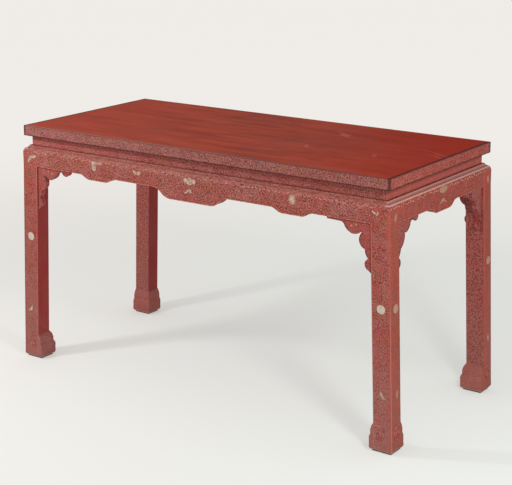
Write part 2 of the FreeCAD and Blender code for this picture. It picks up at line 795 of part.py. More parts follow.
def leg_side_plates(shift):
    """A leaf, a roundel and a leaf, moved outwards by the shift, for the legs at the front."""
    leaf = (S.leaf_width, S.leaf_length)
    round_place = (-side_middle(S.roundel_height) - shift, S.roundel_height)
    return [
        ((-side_middle(apron_edge) - shift, apron_edge + S.top_leaf_rise), leaf, LEAF_SHARES),
        (round_place, (S.roundel_size, S.roundel_size), ROUNDEL_SHARES),
        ((-side_middle(S.leaf_height) - shift, S.leaf_height), leaf, LEAF_SHARES),
    ]


def middle_plates(cloud_place, scallop_level):
    """A cloud above a scallop, in the middle of an apron."""
    cloud_level = apron_edge + (waist_foot - apron_edge) * cloud_place
    return [
        ((ZERO, cloud_level), (S.cloud_width, S.cloud_height), CLOUD_SHARES),
        ((ZERO, scallop_level), (S.scallop_width, S.scallop_height), SCALLOP_SHARES),
    ]


def long_apron_plates():
    outer = leg_inner_x * OUTER_PLATE_SHARE
    return [
        *middle_plates(LONG_CLOUD_SHARE, apron_edge),
        ((-outer, plate_level + S.plate_margin), (S.banner_width, S.banner_height), BANNER_SHARES),
        ((outer, plate_level), (S.plaque_width, S.plaque_height), PLAQUE_SHARES),
        (
            (-leg_inner_x * BUTTERFLY_PLACE_SHARE, plate_level + S.plate_margin),
            (S.butterfly_width, S.butterfly_height),
            BUTTERFLY_SHARES,
        ),
    ]


# Pieces that others are cut to fit
long_keys = [dovetail_key(f"front_key_{i + 1}", True, S.key_spacing * sign) for i, sign in enumerate((-1, 1))]
short_key = dovetail_key("right_key", False, ZERO)
back_keys = [mirrored(f"back_key_{i + 1}", key, ACROSS_Y) for i, key in enumerate(long_keys)]
left_key = mirrored("left_key", short_key, ACROSS_X)
keys = joined("Part::Compound", "apron_keys", [*long_keys, *back_keys, short_key, left_key])
pegs = bracket_pegs()
nodes["apron_keys"] = keys
nodes["bracket_pegs"] = pegs

# Legs
front_apron, front_tenons = apron("front_apron", True)
right_apron, right_tenons = apron("right_apron", False)
front_skin = face_skin("leg_front_skin", True, S.leg_splay_y)
side_skin = face_skin("leg_side_skin", False, S.leg_splay_x)
swallow_place = (leg_inner_x + S.swallow_width / 2 + S.plate_margin, plate_level)
swallow = (swallow_place, (S.swallow_width, S.swallow_height), SWALLOW_SHARES)
scroll_place = (-leg_inner_x - S.scroll_width / 2 - S.plate_margin, plate_level - S.plate_margin * 2)
scroll = (scroll_place, (S.scroll_width, S.scroll_height), SCROLL_SHARES)
front_pockets = pockets("leg_front_pockets", True, front_skin, leg_front_plates())
front_leg_pockets = pockets("front_leg_side_pockets", False, side_skin, leg_side_plates(-S.front_leg_shift))
back_leg_pockets = pockets("back_leg_side_pockets", False, side_skin, leg_side_plates(S.back_leg_shift))
swallow_pocket = pockets("swallow_pocket", True, front_skin, [swallow])
scroll_pocket = pockets("scroll_pocket", True, front_skin, [scroll])
whole_leg = leg_blank()
whole_left_leg = mirrored("whole_left_leg", whole_leg, ACROSS_X)
leg = cut("jointed_leg", whole_leg, front_tenons, right_tenons, pegs, front_pockets)
front_leg = cut("front_leg", leg, front_leg_pockets)
back_leg = cut("back_leg", leg, back_leg_pockets)
nodes["leg_front_right"] = cut("leg_front_right", front_leg, swallow_pocket)
nodes["leg_front_left"] = cut("leg_front_left", mirrored("front_left_leg", front_leg, ACROSS_X), scroll_pocket)
swallow_back_leg = cut("swallow_back_leg", back_leg, swallow_pocket)
scroll_back_leg = cut("scroll_back_leg", mirrored("back_left_leg", back_leg, ACROSS_X), scroll_pocket)
nodes["leg_back_right"] = mirrored("leg_back_right", swallow_back_leg, ACROSS_Y)
nodes["leg_back_left"] = mirrored("leg_back_left", scroll_back_leg, ACROSS_Y)

# Aprons and waist
apron_front_skin = face_skin("apron_front_skin", True, ZERO)
apron_side_skin = face_skin("apron_side_skin", False, ZERO)
front_apron_pockets = pockets("front_apron_pockets", True, apron_front_skin, long_apron_plates())
short_level = apron_edge + S.scallop_height / 2
right_apron_pockets = pockets(
    "right_apron_pockets", False, apron_side_skin, middle_plates(SHORT_CLOUD_SHARE, short_level)
)
nodes["apron_front"] = cut("apron_front", front_apron, keys, pegs, front_apron_pockets)
nodes["apron_back"] = mirrored("apron_back", nodes["apron_front"], ACROSS_Y)
nodes["apron_right"] = cut("apron_right", right_apron, keys, pegs, right_apron_pockets)
nodes["apron_left"] = mirrored("apron_left", nodes["apron_right"], ACROSS_X)
nodes["waist_front"] = cut("waist_front", waist_strip("waist_front_blank", True), keys)
nodes["waist_back"] = mirrored("waist_back", nodes["waist_front"], ACROSS_Y)
nodes["waist_right"] = cut("waist_right", waist_strip("waist_right_blank", False), keys)
nodes["waist_left"] = mirrored("waist_left", nodes["waist_right"], ACROSS_X)

# Top
battens = {
    "top_batten_left": batten("top_batten_left", -S.batten_spacing),
    "top_batten_middle": batten("top_batten_middle", ZERO),
    "top_batten_right": batten("top_batten_right", S.batten_spacing),
}
nodes.update(battens)
nodes["top_panel"] = cut("top_panel", panel_blank(), *battens.values())
left_rail_whole = side_rail_with_tenons()
right_rail_whole = mirrored("right_rail_whole", left_rail_whole, ACROSS_X)
front_rail_blank = rail_blank("front_rail_blank", "YZ_Plane", half_width, half_length)
left_legs = [nodes["leg_front_left"], nodes["leg_back_left"]]
front_legs = [nodes["leg_front_left"], nodes["leg_front_right"]]
panel = nodes["top_panel"]
nodes["top_left_rail"] = cut("top_left_rail", left_rail_whole, panel, keys, *left_legs)
nodes["top_right_rail"] = mirrored("top_right_rail", nodes["top_left_rail"], ACROSS_X)
front_neighbours = [panel, keys, left_rail_whole, right_rail_whole, *front_legs, *battens.values()]
nodes["top_front_rail"] = cut("top_front_rail", front_rail_blank, *front_neighbours)
nodes["top_back_rail"] = mirrored("top_back_rail", nodes["top_front_rail"], ACROSS_Y)

# Brackets: the one at the front right has lost the scroll at its far end
whole = bracket("front_left_bracket", True, 1, LONG_BRACKET_SHARES)
worn = bracket("front_right_bracket", True, -1, WORN_BRACKET_SHARES)
short = bracket("right_front_bracket", False, 1, SHORT_BRACKET_SHARES)
nodes["bracket_front_left"] = cut("bracket_front_left", whole, pegs)
nodes["bracket_front_right"] = cut("bracket_front_right", worn, pegs)
nodes["bracket_back_left"] = mirrored("bracket_back_left", nodes["bracket_front_left"], ACROSS_Y)
nodes["bracket_back_right"] = mirrored("bracket_back_right", nodes["bracket_back_left"], ACROSS_X)
nodes["bracket_right_front"] = cut("bracket_right_front", short, pegs)
nodes["bracket_right_back"] = mirrored("bracket_right_back", nodes["bracket_right_front"], ACROSS_Y)
nodes["bracket_left_front"] = mirrored("bracket_left_front", nodes["bracket_right_front"], ACROSS_X)
nodes["bracket_left_back"] = mirrored("bracket_left_back", nodes["bracket_right_back"], ACROSS_X)

# Foot pads
pad_front_right = foot_pad()
pad_front_left = mirrored("pad_front_left", pad_front_right, ACROSS_X)
pad_back_right = mirrored("pad_back_right", pad_front_right, ACROSS_Y)
pad_back_left = mirrored("pad_back_left", pad_front_left, ACROSS_Y)
nodes["foot_pads"] = joined(
    "Part::Compound", "foot_pads", [pad_front_right, pad_front_left, pad_back_right, pad_back_left]
)

# Shell plates of each side
front_plates = plates("front_plates", front_apron, front_apron_pockets)
right_plates = plates("right_plates", right_apron, right_apron_pockets)
leg_plates = plates("leg_plates", whole_leg, front_pockets)
left_leg_plates = mirrored("left_leg_plates", leg_plates, ACROSS_X)
swallow_plate = plates("swallow_plate", whole_leg, swallow_pocket)
scroll_plate = plates("scroll_plate", whole_left_leg, scroll_pocket)
side_plates = plates("side_plates", whole_leg, front_leg_pockets)
back_plates = plates("back_plates", whole_leg, back_leg_pockets)
back_side_plates = mirrored("back_side_plates", back_plates, ACROSS_Y)
front_pieces = [front_plates, leg_plates, left_leg_plates, swallow_plate, scroll_plate]
nodes["shell_inlays_front"] = joined("Part::Compound", "shell_inlays_front", front_pieces)
nodes["shell_inlays_back"] = mirrored("shell_inlays_back", nodes["shell_inlays_front"], ACROSS_Y)
nodes["shell_inlays_right"] = joined(
    "Part::Compound", "shell_inlays_right", [right_plates, side_plates, back_side_plates]
)
nodes["shell_inlays_left"] = mirrored("shell_inlays_left", nodes["shell_inlays_right"], ACROSS_X)

# Check every object, then write each sub-part
doc.recompute()
for thing in doc.Objects:
    if "Invalid" in thing.State or "Error" in thing.State:
        raise RuntimeError(f"{thing.Label} did not compute: {thing.getStatusString()}")
os.makedirs("parts", exist_ok=True)
for name, thing in nodes.items():
    shape = thing.Shape
    if shape.isNull() or not shape.isValid():
        raise RuntimeError(f"{name} has no valid shape")
    shape.exportStep(f"parts/{name}.step")
    print(f"{name}: {len(shape.Solids)} solid(s), {shape.Volume / 1000:.1f} cm3")
print(f"{len(nodes)} nodes")
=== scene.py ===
# %% [markdown]
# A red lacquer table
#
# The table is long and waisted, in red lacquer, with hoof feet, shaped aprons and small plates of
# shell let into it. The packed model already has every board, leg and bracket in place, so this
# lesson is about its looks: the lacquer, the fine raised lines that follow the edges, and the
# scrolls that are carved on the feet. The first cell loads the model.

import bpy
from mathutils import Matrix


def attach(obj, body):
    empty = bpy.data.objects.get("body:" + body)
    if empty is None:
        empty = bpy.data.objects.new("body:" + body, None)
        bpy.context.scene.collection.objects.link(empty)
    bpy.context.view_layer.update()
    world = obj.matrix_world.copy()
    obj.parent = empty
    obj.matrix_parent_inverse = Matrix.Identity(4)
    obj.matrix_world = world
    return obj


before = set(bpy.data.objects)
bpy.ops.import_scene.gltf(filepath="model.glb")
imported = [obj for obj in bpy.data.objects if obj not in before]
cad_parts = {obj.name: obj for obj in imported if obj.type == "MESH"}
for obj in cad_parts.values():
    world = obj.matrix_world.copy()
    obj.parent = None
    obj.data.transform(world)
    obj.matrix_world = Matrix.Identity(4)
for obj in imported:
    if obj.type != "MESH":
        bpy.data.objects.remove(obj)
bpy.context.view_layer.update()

# %% [markdown]
# Modules
#
# bpy drives Blender, bmesh reaches single edges in edit mode, and mathutils has the matrices that
# place the camera, the lamps and the copies of the foot's scroll.

# %% Modules
import math

import bmesh
import bpy
from mathutils import Matrix, Vector

print("Blender", bpy.app.version_string)

# %% [markdown]
# The camera
#
# The photograph was taken from the right of the table's front, a little above the top. Its uprights
# are nearly parallel, which a tilted camera only gives from far away, so the lens is long and the
# camera stands well back. The place and the angles come from matching the edges of the top and the
# legs. A rotation made of three turns is easy to read: first the roll about the view, then the
# tilt, then the turn about the upright.

# %% Camera
CAMERA_PLACE = Vector((2.63927, -3.68573, 1.74914))
CAMERA_TURN, CAMERA_TILT, CAMERA_ROLL = 0.61684, 0.24454, -0.00300
CAMERA_LENS, CAMERA_SHIFT, SENSOR_WIDTH = 96.5465, -0.08301, 36
FARTHEST_SEEN = 200
camera_data = bpy.data.cameras.new("camera")
camera_data.lens = CAMERA_LENS
camera_data.sensor_width = SENSOR_WIDTH
camera_data.shift_y = CAMERA_SHIFT
camera_data.clip_end = FARTHEST_SEEN
camera = bpy.data.objects.new("camera", camera_data)
bpy.context.scene.collection.objects.link(camera)
camera.matrix_world = (
    Matrix.Translation(CAMERA_PLACE)
    @ Matrix.Rotation(CAMERA_TURN, 4, "Z")
    @ Matrix.Rotation(math.pi / 2 - CAMERA_TILT, 4, "X")
    @ Matrix.Rotation(CAMERA_ROLL, 4, "Z")
)
bpy.context.scene.camera = camera
print("camera at", [round(c, 3) for c in camera.matrix_world.translation])

# %% [markdown]
# Shader maths as plain sums
#
# A lacquer is a dozen patterns added, multiplied and limited. Wired by hand that is a wall of Math
# nodes, so a small class stands for one output of a node and turns `a * b + 0.1` into those nodes.
# Its other methods are the few questions that every finish asks: is this point above a height, past
# a width, or near a line?


# %% Sockets that can be added and multiplied
class Wire:
    """One output of a shader node."""

    def __init__(self, finish, socket):
        self.finish = finish
        self.socket = socket

    def maths(self, operation, *others, swap=False):
        terms = [self, *others]
        if swap:
            terms.reverse()
        return self.finish.add("ShaderNodeMath", {"operation": operation}, dict(enumerate(terms)))

    def __add__(self, other):
        return self.maths("ADD", other)

    def __sub__(self, other):
        return self.maths("SUBTRACT", other)

    def __rsub__(self, other):
        return self.maths("SUBTRACT", other, swap=True)

    def __mul__(self, other):
        return self.maths("MULTIPLY", other)

    def __truediv__(self, other):
        return self.maths("DIVIDE", other)

    __radd__ = __add__
    __rmul__ = __mul__

    def size(self):
        return self.maths("ABSOLUTE")

    def wave(self):
        return self.maths("SINE")

    def most(self, other):
        return self.maths("MAXIMUM", other)

    def limited(self):
        return self.most(0.0).maths("MINIMUM", 1.0)

    def step(self, low, high):
        """0 at low and 1 at high, with a soft change between; low may be the larger one."""
        settings = {"interpolation_type": "SMOOTHSTEP", "clamp": True}
        ends = (0.0, 1.0) if low < high else (1.0, 0.0)
        values = {0: self, 1: min(low, high), 2: max(low, high), 3: ends[0], 4: ends[1]}
        return self.finish.add("ShaderNodeMapRange", settings, values)

    def above(self, limit, soft=0.001):
        return self.step(limit, limit + soft)

    def below(self, limit, soft=0.001):
        return self.step(limit, limit - soft)

    def past(self, limit, soft=0.001):
        """1 farther than the limit from the table's middle, on either side."""
        return self.size().step(limit - soft, limit)

    def near(self, place, half):
        """1 close to the place and 0 from half its width on, with a soft change in the outer part."""
        return (self - place).size().step(half, half * 0.5)

    def output(self, name):
        return Wire(self.finish, self.socket.node.outputs[name])


print("a wire knows", sorted(name for name in vars(Wire) if not name.startswith("_")))

# %% [markdown]
# Materials under construction
#
# A second class holds a material and adds every other kind of node by one method, which sets what
# is a plain number and links what is a wire. Mixing is the step that comes most often: each layer
# of a finish covers the layers before it by some share, so the share is the strength of that layer.


# %% A material wired by name
class Material:
    """A material whose nodes are added and linked in one call."""

    def __init__(self, name):
        self.material = bpy.data.materials.new(name)
        self.material.use_nodes = True
        self.tree = self.material.node_tree
        self.shader = self.tree.nodes["Principled BSDF"]

    def add(self, kind, settings, values):
        node = self.tree.nodes.new(kind)
        for name, value in settings.items():
            setattr(node, name, value)
        for name, value in values.items():
            if isinstance(value, Wire):
                self.tree.links.new(value.socket, node.inputs[name])
            else:
                node.inputs[name].default_value = value
        shown = [socket for socket in node.outputs if socket.enabled]
        return Wire(self, shown[0])

    def mixed(self, share, first, second):
        """The first colour, covered with the second one by this share."""
        colours = {6: first, 7: second}
        for slot, colour in colours.items():
            if not isinstance(colour, Wire):
                colours[slot] = (*colour, 1.0)
        return self.add("ShaderNodeMix", {"data_type": "RGBA"}, {0: share, **colours})

    def bump(self, height, distance, strength=1.0):
        values = {"Height": height, "Distance": distance, "Strength": strength}
        return self.add("ShaderNodeBump", {}, values)

    def set(self, **sockets):
        for name, value in sockets.items():
            socket = self.shader.inputs[name.replace("_", " ").title().replace("Ior", "IOR")]
            if isinstance(value, Wire):
                self.tree.links.new(value.socket, socket)
            else:
                socket.default_value = value
        return self.material


print("a material knows", sorted(name for name in vars(Material) if not name.startswith("_")))

# %% [markdown]
# Patterns on the table
#
# All patterns read Object coordinates, which are the table's own metres, so they run on from board
# to board without seams. The long sides are drawn by x and z and the short sides by y and z, and
# the sum of x and y serves both. Noise gives drifting patches and streaks, and cells give dots,
# cracks and curls.


# %% Patterns
class Finish(Material):
    """A material with the patterns that the finishes share."""

    def __init__(self, name):
        super().__init__(name)
        self.place = self.add("ShaderNodeTexCoord", {}, {}).output("Object")
        axes = self.add("ShaderNodeSeparateXYZ", {}, {0: self.place})
        self.x, self.y, self.z = (axes.output(name) for name in "XYZ")
        self.along = self.x + self.y
        self.flat = self.add("ShaderNodeCombineXYZ", {}, {0: self.along, 1: self.z})

    def noise(self, scale, detail=2.0, stretch=None, rough=0.5):
        place = self.place
        if stretch:
            place = self.add("ShaderNodeMapping", {}, {0: place, 3: stretch})
        values = {0: place, "Scale": scale, "Detail": detail, "Roughness": rough}
        return self.add("ShaderNodeTexNoise", {}, values)

    def patches(self, scale, low, high, detail=2.0):
        """Soft-edged patches of a noise."""
        return self.noise(scale, detail).step(low, high)

    def cells(self, scale, feature="F1", spread=1.0, place=None):
        """A cell pattern on the flat of the table's sides."""
        settings = {"feature": feature, "voronoi_dimensions": "2D"}
        values = {0: place or self.flat, "Scale": scale, "Randomness": spread}
        return self.add("ShaderNodeTexVoronoi", settings, values)

    def dots(self, scale, rim, core):
        """A dot in the middle of each cell, from its rim to its full core."""
        return self.cells(scale).step(rim, core)


print("a finish knows", sorted(name for name in vars(Finish) if not name.startswith("_")))

# %% [markdown]
# Colours
#
# Painters mix by eye in the numbers that a screen shows, but a shader works in light. One function
# turns the one into the other, so that every colour below can be read as what it looks like.


# %% Colours
def seen(red, green, blue):
    """A colour as a screen shows it, 0 to 255, in the shader's linear numbers."""
    shares = [number / 255 for number in (red, green, blue)]
    return tuple(s / 12.92 if s <= 0.04045 else ((s + 0.055) / 1.055) ** 2.4 for s in shares)


RED_GROUND, RED_LINE = seen(108, 38, 34), seen(167, 77, 65)
ROSE_GROUND, ROSE_LINE = seen(100, 48, 46), seen(168, 108, 99)
PURPLE_GROUND, BROWN_LINE = seen(116, 42, 56), seen(156, 94, 66)
SMOOTH_RED, SMOOTH_BROWN = seen(172, 64, 46), seen(144, 68, 50)
DEEP_RED = seen(144, 48, 46)
PIT, FLECK = seen(82, 36, 36), seen(206, 164, 150)
PALE_LINE, DARK_LINE = seen(186, 122, 110), seen(78, 44, 42)
print("red ground in linear numbers", [round(c, 3) for c in RED_GROUND])

# %% [markdown]
# Where the faces lie
#
# Bands and lines are laid by place, so the finishes need the main places of the model in metres.
# The floor is z = 0, x runs along the table and y from front to back, and both are 0 in the middle.
# The legs lean outwards a little: at the floor they stand farther out by the splay.

# %% Places on the table
FACE_X, FACE_Y = 0.734, 0.3315
TOP_X, TOP_Y = 0.730, 0.3275
LEG_X, LEG_Y = 0.064, 0.055
SPLAY_X, SPLAY_Y = 0.028, 0.005
HOOF_HEAD, APRON_EDGE = 0.085, 0.711
TURN_FOOT, TURN_HEAD = 0.754, 0.768
WAIST_FOOT, RAIL_FOOT, TOP = 0.780, 0.814, 0.850
BRACKET_SETBACK = 0.003
print("apron from", APRON_EDGE, "to", WAIST_FOOT)

# %% [markdown]
# Curls
#
# On the real table the sides are not plain red. The maker cut a fine all-over figure of curls into
# the lacquer, filled it with other tones and rubbed it level. A cell pattern gives the layout: each
# cell knows how far and in which direction its middle lies, and a wave of distance plus angle is a
# spiral that curls round that middle. Half of the cells turn the other way, and the hand that cut
# them sways and trembles.

# %% Curls
CURL_SIZE, CURL_PITCH, CURL_SPREAD = 0.019, 0.0074, 0.85
SWAY, TREMBLE = 0.014, 0.005


def wander(finish, slow, quick):
    """How far the cutter strays from the true curl, in metres."""
    return (finish.noise(slow) - 0.5) * SWAY + (finish.noise(quick) - 0.5) * TREMBLE


def curls(finish):
    """Spiral lines round the middle of each cell: 0 between two lines, 1 on a line."""
    f = finish
    strayed = {0: f.along + wander(f, 48, 150), 1: f.z + wander(f, 54, 165)}
    place = f.add("ShaderNodeCombineXYZ", {}, strayed)
    cell = f.cells(1 / CURL_SIZE, spread=CURL_SPREAD, place=place)
    middle = cell.output("Position")
    away = f.add("ShaderNodeVectorMath", {"operation": "SUBTRACT"}, {0: place, 1: middle})
    parts = f.add("ShaderNodeSeparateXYZ", {}, {0: away})
    angle = parts.output("Y").maths("ARCTAN2", parts.output("X"))
    tint = f.add("ShaderNodeSeparateColor", {}, {0: cell.output("Color")})
    turn = tint.step(0.49, 0.51) * 2 - 1
    rings = cell * (CURL_SIZE * 2 * math.pi / CURL_PITCH)
    return (rings + angle * turn).wave() * 0.5 + 0.5


print("curls", round(CURL_SIZE * 1000), "mm across, lines", CURL_PITCH * 1000, "mm apart")

# %% [markdown]
# The figured ground
#
# The curls choose between a dark ground and a lighter line, and both drift from red to rose grey in
# patches. Time has rubbed some of the figure away and left dark pits and pale specks. The same
# pattern gives the relief: lines stand up a little, and pits go in. Where the amount is below 1,
# the figure fades into its mean colour.

# %% The figured ground
MEAN_SHARE_OF_LINES = 0.68
LACQUER_SPECULAR = 0.12


def figured(finish, amount=1.0, rose=0.0):
    """The colour and the height of the figured ground; rose moves it from red to rose grey."""
    f = finish
    drift, patches = f.noise(9) - 0.5, f.noise(38, rough=0.6) - 0.5
    tone = (drift * 1.2 + patches * 1.4 + (0.5 + rose)).limited()
    ground = f.mixed(tone, RED_GROUND, ROSE_GROUND)
    ground = f.mixed(f.patches(20, 0.5, 0.62) * 0.8, ground, PURPLE_GROUND)
    line = f.mixed(tone, RED_LINE, ROSE_LINE)
    line = f.mixed(f.patches(26, 0.52, 0.64) * 0.5, line, BROWN_LINE)
    fine = f.noise(190, rough=0.6) - 0.5
    lines = (curls(f).step(0.12, 0.62) * 0.7 + fine * 1.3 + 0.25).limited()
    worn = f.patches(34, 0.55, 0.68) * 0.35
    lines = lines * (1 - worn) + worn * 0.75
    colour = f.mixed(lines * amount + (1 - amount) * MEAN_SHARE_OF_LINES, ground, line)
    pits = (f.cells(118) + fine * 0.25).step(0.29, 0.19) * f.patches(42, 0.42, 0.52)
    colour = f.mixed(pits * 0.78 * amount, colour, PIT)
    specks = f.dots(150, 0.2, 0.1) * f.patches(30, 0.5, 0.62)
    colour = f.mixed(specks * 0.45 * amount, colour, FLECK)
    return colour, lines * 0.6 - pits


def satin(finish, colour, height, depth=0.0006):
    """Closes a finish as lacquer worn smooth by rubbing, with an uneven soft sheen over a fine relief."""
    return finish.set(
        base_color=colour,
        roughness=finish.noise(60) * 0.2 + 0.42,
        normal=finish.bump(height, depth, 0.7),
        specular_ior_level=LACQUER_SPECULAR,
    )


print("mean share of lines in the figure", MEAN_SHARE_OF_LINES)

# %% [markdown]
# Worn slope and painted light on the waist
#
# A pale grey band lies on the rounded slope below the waist, where hands and cloths have rubbed it,
# most of all on the short sides. The waist above it lies in the shade of the top, and painted light
# lifts it out of that shade: it is painted lighter, most on the short sides.

# %% Worn slope and painted light on the waist
SLOPE_FOOT, SHOULDER_IN, SHORT_WAIST_IN = TURN_FOOT + 0.011, 0.018, 0.0255
SLOPE_LONG, SLOPE_SHORT = seen(154, 98, 88), seen(178, 122, 112)
WAIST_LIFT_LEFT, WAIST_LIFT_RIGHT = seen(220, 104, 108), seen(192, 96, 90)


def worn_slope(finish, colour, outside, short):
    f = finish
    rub = (f.noise(70) - 0.5) * 0.002
    slope = (f.z + rub).above(SLOPE_FOOT, 0.003) * f.z.below(WAIST_FOOT)
    worn = f.mixed(short, SLOPE_LONG, SLOPE_SHORT)
    return f.mixed(slope * outside * (short * 0.4 + 0.27), colour, worn)


def waist_painted_light(finish, colour):
    f = finish
    on_short = f.x.past(FACE_X - SHORT_WAIST_IN, 0.0005)
    amount = on_short * 0.36 + f.x.step(0.2, -0.6) * 0.05 + 0.09
    # Painted light: the waist is painted lighter where the rim shades it, most on the short sides and a
    # little more towards the left end.
    painted_lift = f.mixed(f.x.step(-0.5, 0.4), WAIST_LIFT_LEFT, WAIST_LIFT_RIGHT)
    return f.mixed(f.z.above(WAIST_FOOT) * amount, colour, painted_lift)


print("slope worn from", SLOPE_FOOT, "to", WAIST_FOOT)

# %% [markdown]
# Painted groove shade and flecks
#
# Two dark lines of painted shade run beside the band, where its grooves hold shade, and below it a
# wavy row of small flecks of shell dust. The row is a sine along the side, and a quicker sine cuts it
# into dashes. A little noise in both keeps it from looking printed.

# %% Painted groove shade and flecks
UPPER_GROOVE, WAIST_GROOVE = TURN_HEAD + 0.0045, WAIST_FOOT + 0.0005
UPPER_GROOVE_HALF, WAIST_GROOVE_HALF = 0.0012, 0.0016
FLECK_ROW, FLECK_SWING, FLECK_EDGE, FLECK_CORE = TURN_FOOT + 0.006, 0.0024, 0.0021, 0.0009
SWING_WAVE, DASH_WAVE = 190, 430


def groove_shade(finish, colour, outside, short):
    f = finish
    # Painted shade: a dark line in the groove between the beads, and one in the crease at the foot of the
    # waist.
    upper = f.z.near(UPPER_GROOVE, UPPER_GROOVE_HALF) * outside * (short * 0.4 + 0.2)
    colour = f.mixed(upper, colour, DARK_LINE)
    waist_groove_shade = f.z.near(WAIST_GROOVE, WAIST_GROOVE_HALF) * 0.45
    return f.mixed(waist_groove_shade, colour, DARK_LINE)


def fleck_row(finish, colour, outside, short):
    f = finish
    path = (f.along * SWING_WAVE + f.noise(12) * 7).wave() * FLECK_SWING + FLECK_ROW
    dashes = (f.along * DASH_WAVE + f.noise(25) * 12).wave().step(-0.3, 0.5)
    row = (f.z - path).size().step(FLECK_EDGE, FLECK_CORE) * dashes * f.patches(16, 0.36, 0.5)
    return f.mixed(row * outside * (short * 0.3 + 0.42), colour, FLECK)


def banded(finish, colour, outside):
    """Lays the worn slope, the painted groove shade and the flecks over the ground where outside is 1,
    and the painted light on the waist.
    """
    short = finish.x.past(FACE_X - SHOULDER_IN)
    colour = worn_slope(finish, colour, outside, short)
    colour = waist_painted_light(finish, colour)
    colour = groove_shade(finish, colour, outside, short)
    return fleck_row(finish, colour, outside, short)


print("grooves at", UPPER_GROOVE, WAIST_GROOVE, "flecks at", FLECK_ROW)

# %% [markdown]
# The sides: aprons and waist
#
# The figured ground covers the boards, and the bands are laid over it by height. The short sides
# are smoother and redder: part of their figure is brushed over. Behind the outer faces the boards
# are plain dark red, and a thin dark line of painted shade runs just above the lip of the aprons'
# lower edge where it is straight.

# %% Finishes of the boards
LIP_SHADE_HEIGHT = APRON_EDGE + 0.0045
BEHIND_X, BEHIND_Y = 0.029, 0.027


def side_finish(name, rose, brushed_over):
    f = Finish(name)
    colour, height = figured(f, rose=rose)
    brushed = f.mixed(f.patches(30, 0.35, 0.65, detail=3), SMOOTH_BROWN, SMOOTH_RED)
    colour = f.mixed(brushed_over, colour, brushed)
    outside = f.x.past(FACE_X - BEHIND_X).most(f.y.past(FACE_Y - BEHIND_Y))
    colour = f.mixed(outside, DEEP_RED, colour)
    colour = banded(f, colour, outside)
    # Painted shade: a thin dark line just above the lip of the lower edge.
    lip = f.z.near(LIP_SHADE_HEIGHT, 0.001) * outside
    return satin(f, f.mixed(lip * 0.3, colour, DARK_LINE), height)


front_red = side_finish("front_red", 0.0, 0.0)
short_side_red = side_finish("short_side_red", -0.5, 0.25)
print("finishes", [m.name for m in bpy.data.materials])

# %% [markdown]
# Where a point lies on a leg
#
# A leg leans outwards, so its faces can't be found by one x or y. The lean grows from 0 at the
# apron's edge to the full splay at the floor. Taken off, it leaves how deep a point lies behind
# each outer face: 0 is on the face, and both depths together are small only at the outer arris. The
# near leg is the front right one, the closest to the camera, and its arris takes painted light of its
# own.


# %% Faces of a leg
FACE_ENDS, FACE_BEGINS = 0.0012, 0.0004


def leg_depths(finish):
    """How deep a point lies behind the leg's face on the short side, and behind that on the long side."""
    f = finish
    lean = (APRON_EDGE - f.z).most(0.0) / APRON_EDGE
    side_depth = (lean * SPLAY_X + FACE_X) - f.x.size()
    front_depth = (lean * SPLAY_Y + FACE_Y) - f.y.size()
    return side_depth, front_depth


class LegFaces:
    """Both depths, and 1 on the outer faces, away from the near leg and on the back pair."""

    def __init__(self, finish):
        f = finish
        self.side_depth, self.front_depth = leg_depths(f)
        self.on_side = self.side_depth.step(FACE_ENDS, FACE_BEGINS)
        self.on_front = self.front_depth.step(FACE_ENDS, FACE_BEGINS)
        self.not_near = (f.x - f.y).step(0.8, 0.7)
        self.at_back = f.y.step(0, 0.1)


print("lean along the length", round(math.degrees(math.atan(SPLAY_X / APRON_EDGE)), 2), "degrees")

# %% [markdown]
# The ground of the legs
#
# The legs carry the same figure with soft blotches over it. Their faces on the short sides are half
# brushed over, the back pair shows larger dots, and the feet fade to rose grey.

# %% Ground of the legs
BLOTCH_RED, BLOTCH_BROWN = seen(152, 60, 56), seen(140, 88, 76)
BACK_LEG, BACK_LEG_DOT, FOOT_ROSE = seen(186, 104, 94), seen(98, 42, 40), seen(160, 112, 106)
LOWER_LEG = 0.5


def leg_ground(finish, leg, streaks):
    f = finish
    colour, height = figured(f, f.z.above(0.08, 0.02) * 0.15 + 0.75, -0.1)
    blotches = f.noise(22, 3, rough=0.6)
    colour = f.mixed(blotches.step(0.52, 0.68) * 0.32, colour, BLOTCH_RED)
    colour = f.mixed(blotches.step(0.46, 0.32) * 0.28, colour, BLOTCH_BROWN)
    brushed = f.mixed(streaks.step(0.35, 0.7), SMOOTH_BROWN, SMOOTH_RED)
    colour = f.mixed(leg.on_side * 0.55, colour, brushed)
    back_face = leg.at_back * (1 - leg.on_side)
    colour = f.mixed(back_face * 0.25, colour, BACK_LEG)
    dots = f.dots(92, 0.36, 0.22) * back_face * f.z.above(HOOF_HEAD, 0.01)
    colour = f.mixed(dots * 0.6, colour, BACK_LEG_DOT)
    fading = f.z.below(LOWER_LEG, 0.4) * (leg.on_front * 0.12 + 0.16)
    hoof = f.z.below(0.11, 0.03) * leg.on_front * 0.12
    return f.mixed(fading + hoof, colour, FOOT_ROSE), height


print("legs fade to rose grey from", LOWER_LEG, "down")

# %% [markdown]
# Lines on the legs
#
# The faces that look inwards along the length are plain dark red. A pale line frames the field.
# Brighter bands of painted highlight run beside the arrises, and on the back pair such a painted
# highlight runs along the inner edge of the narrow face.

# %% Lines on the legs
HIGHLIGHT_IN, HIGHLIGHT_HALF = 0.005, 0.0045
INNER_HIGHLIGHT_IN, INNER_HIGHLIGHT_HALF, FRAME_LINE = 0.006, 0.004, 0.0018
SIDE_HIGHLIGHT, FRONT_HIGHLIGHT, INNER_HIGHLIGHT = seen(176, 74, 62), seen(172, 76, 64), seen(190, 76, 54)


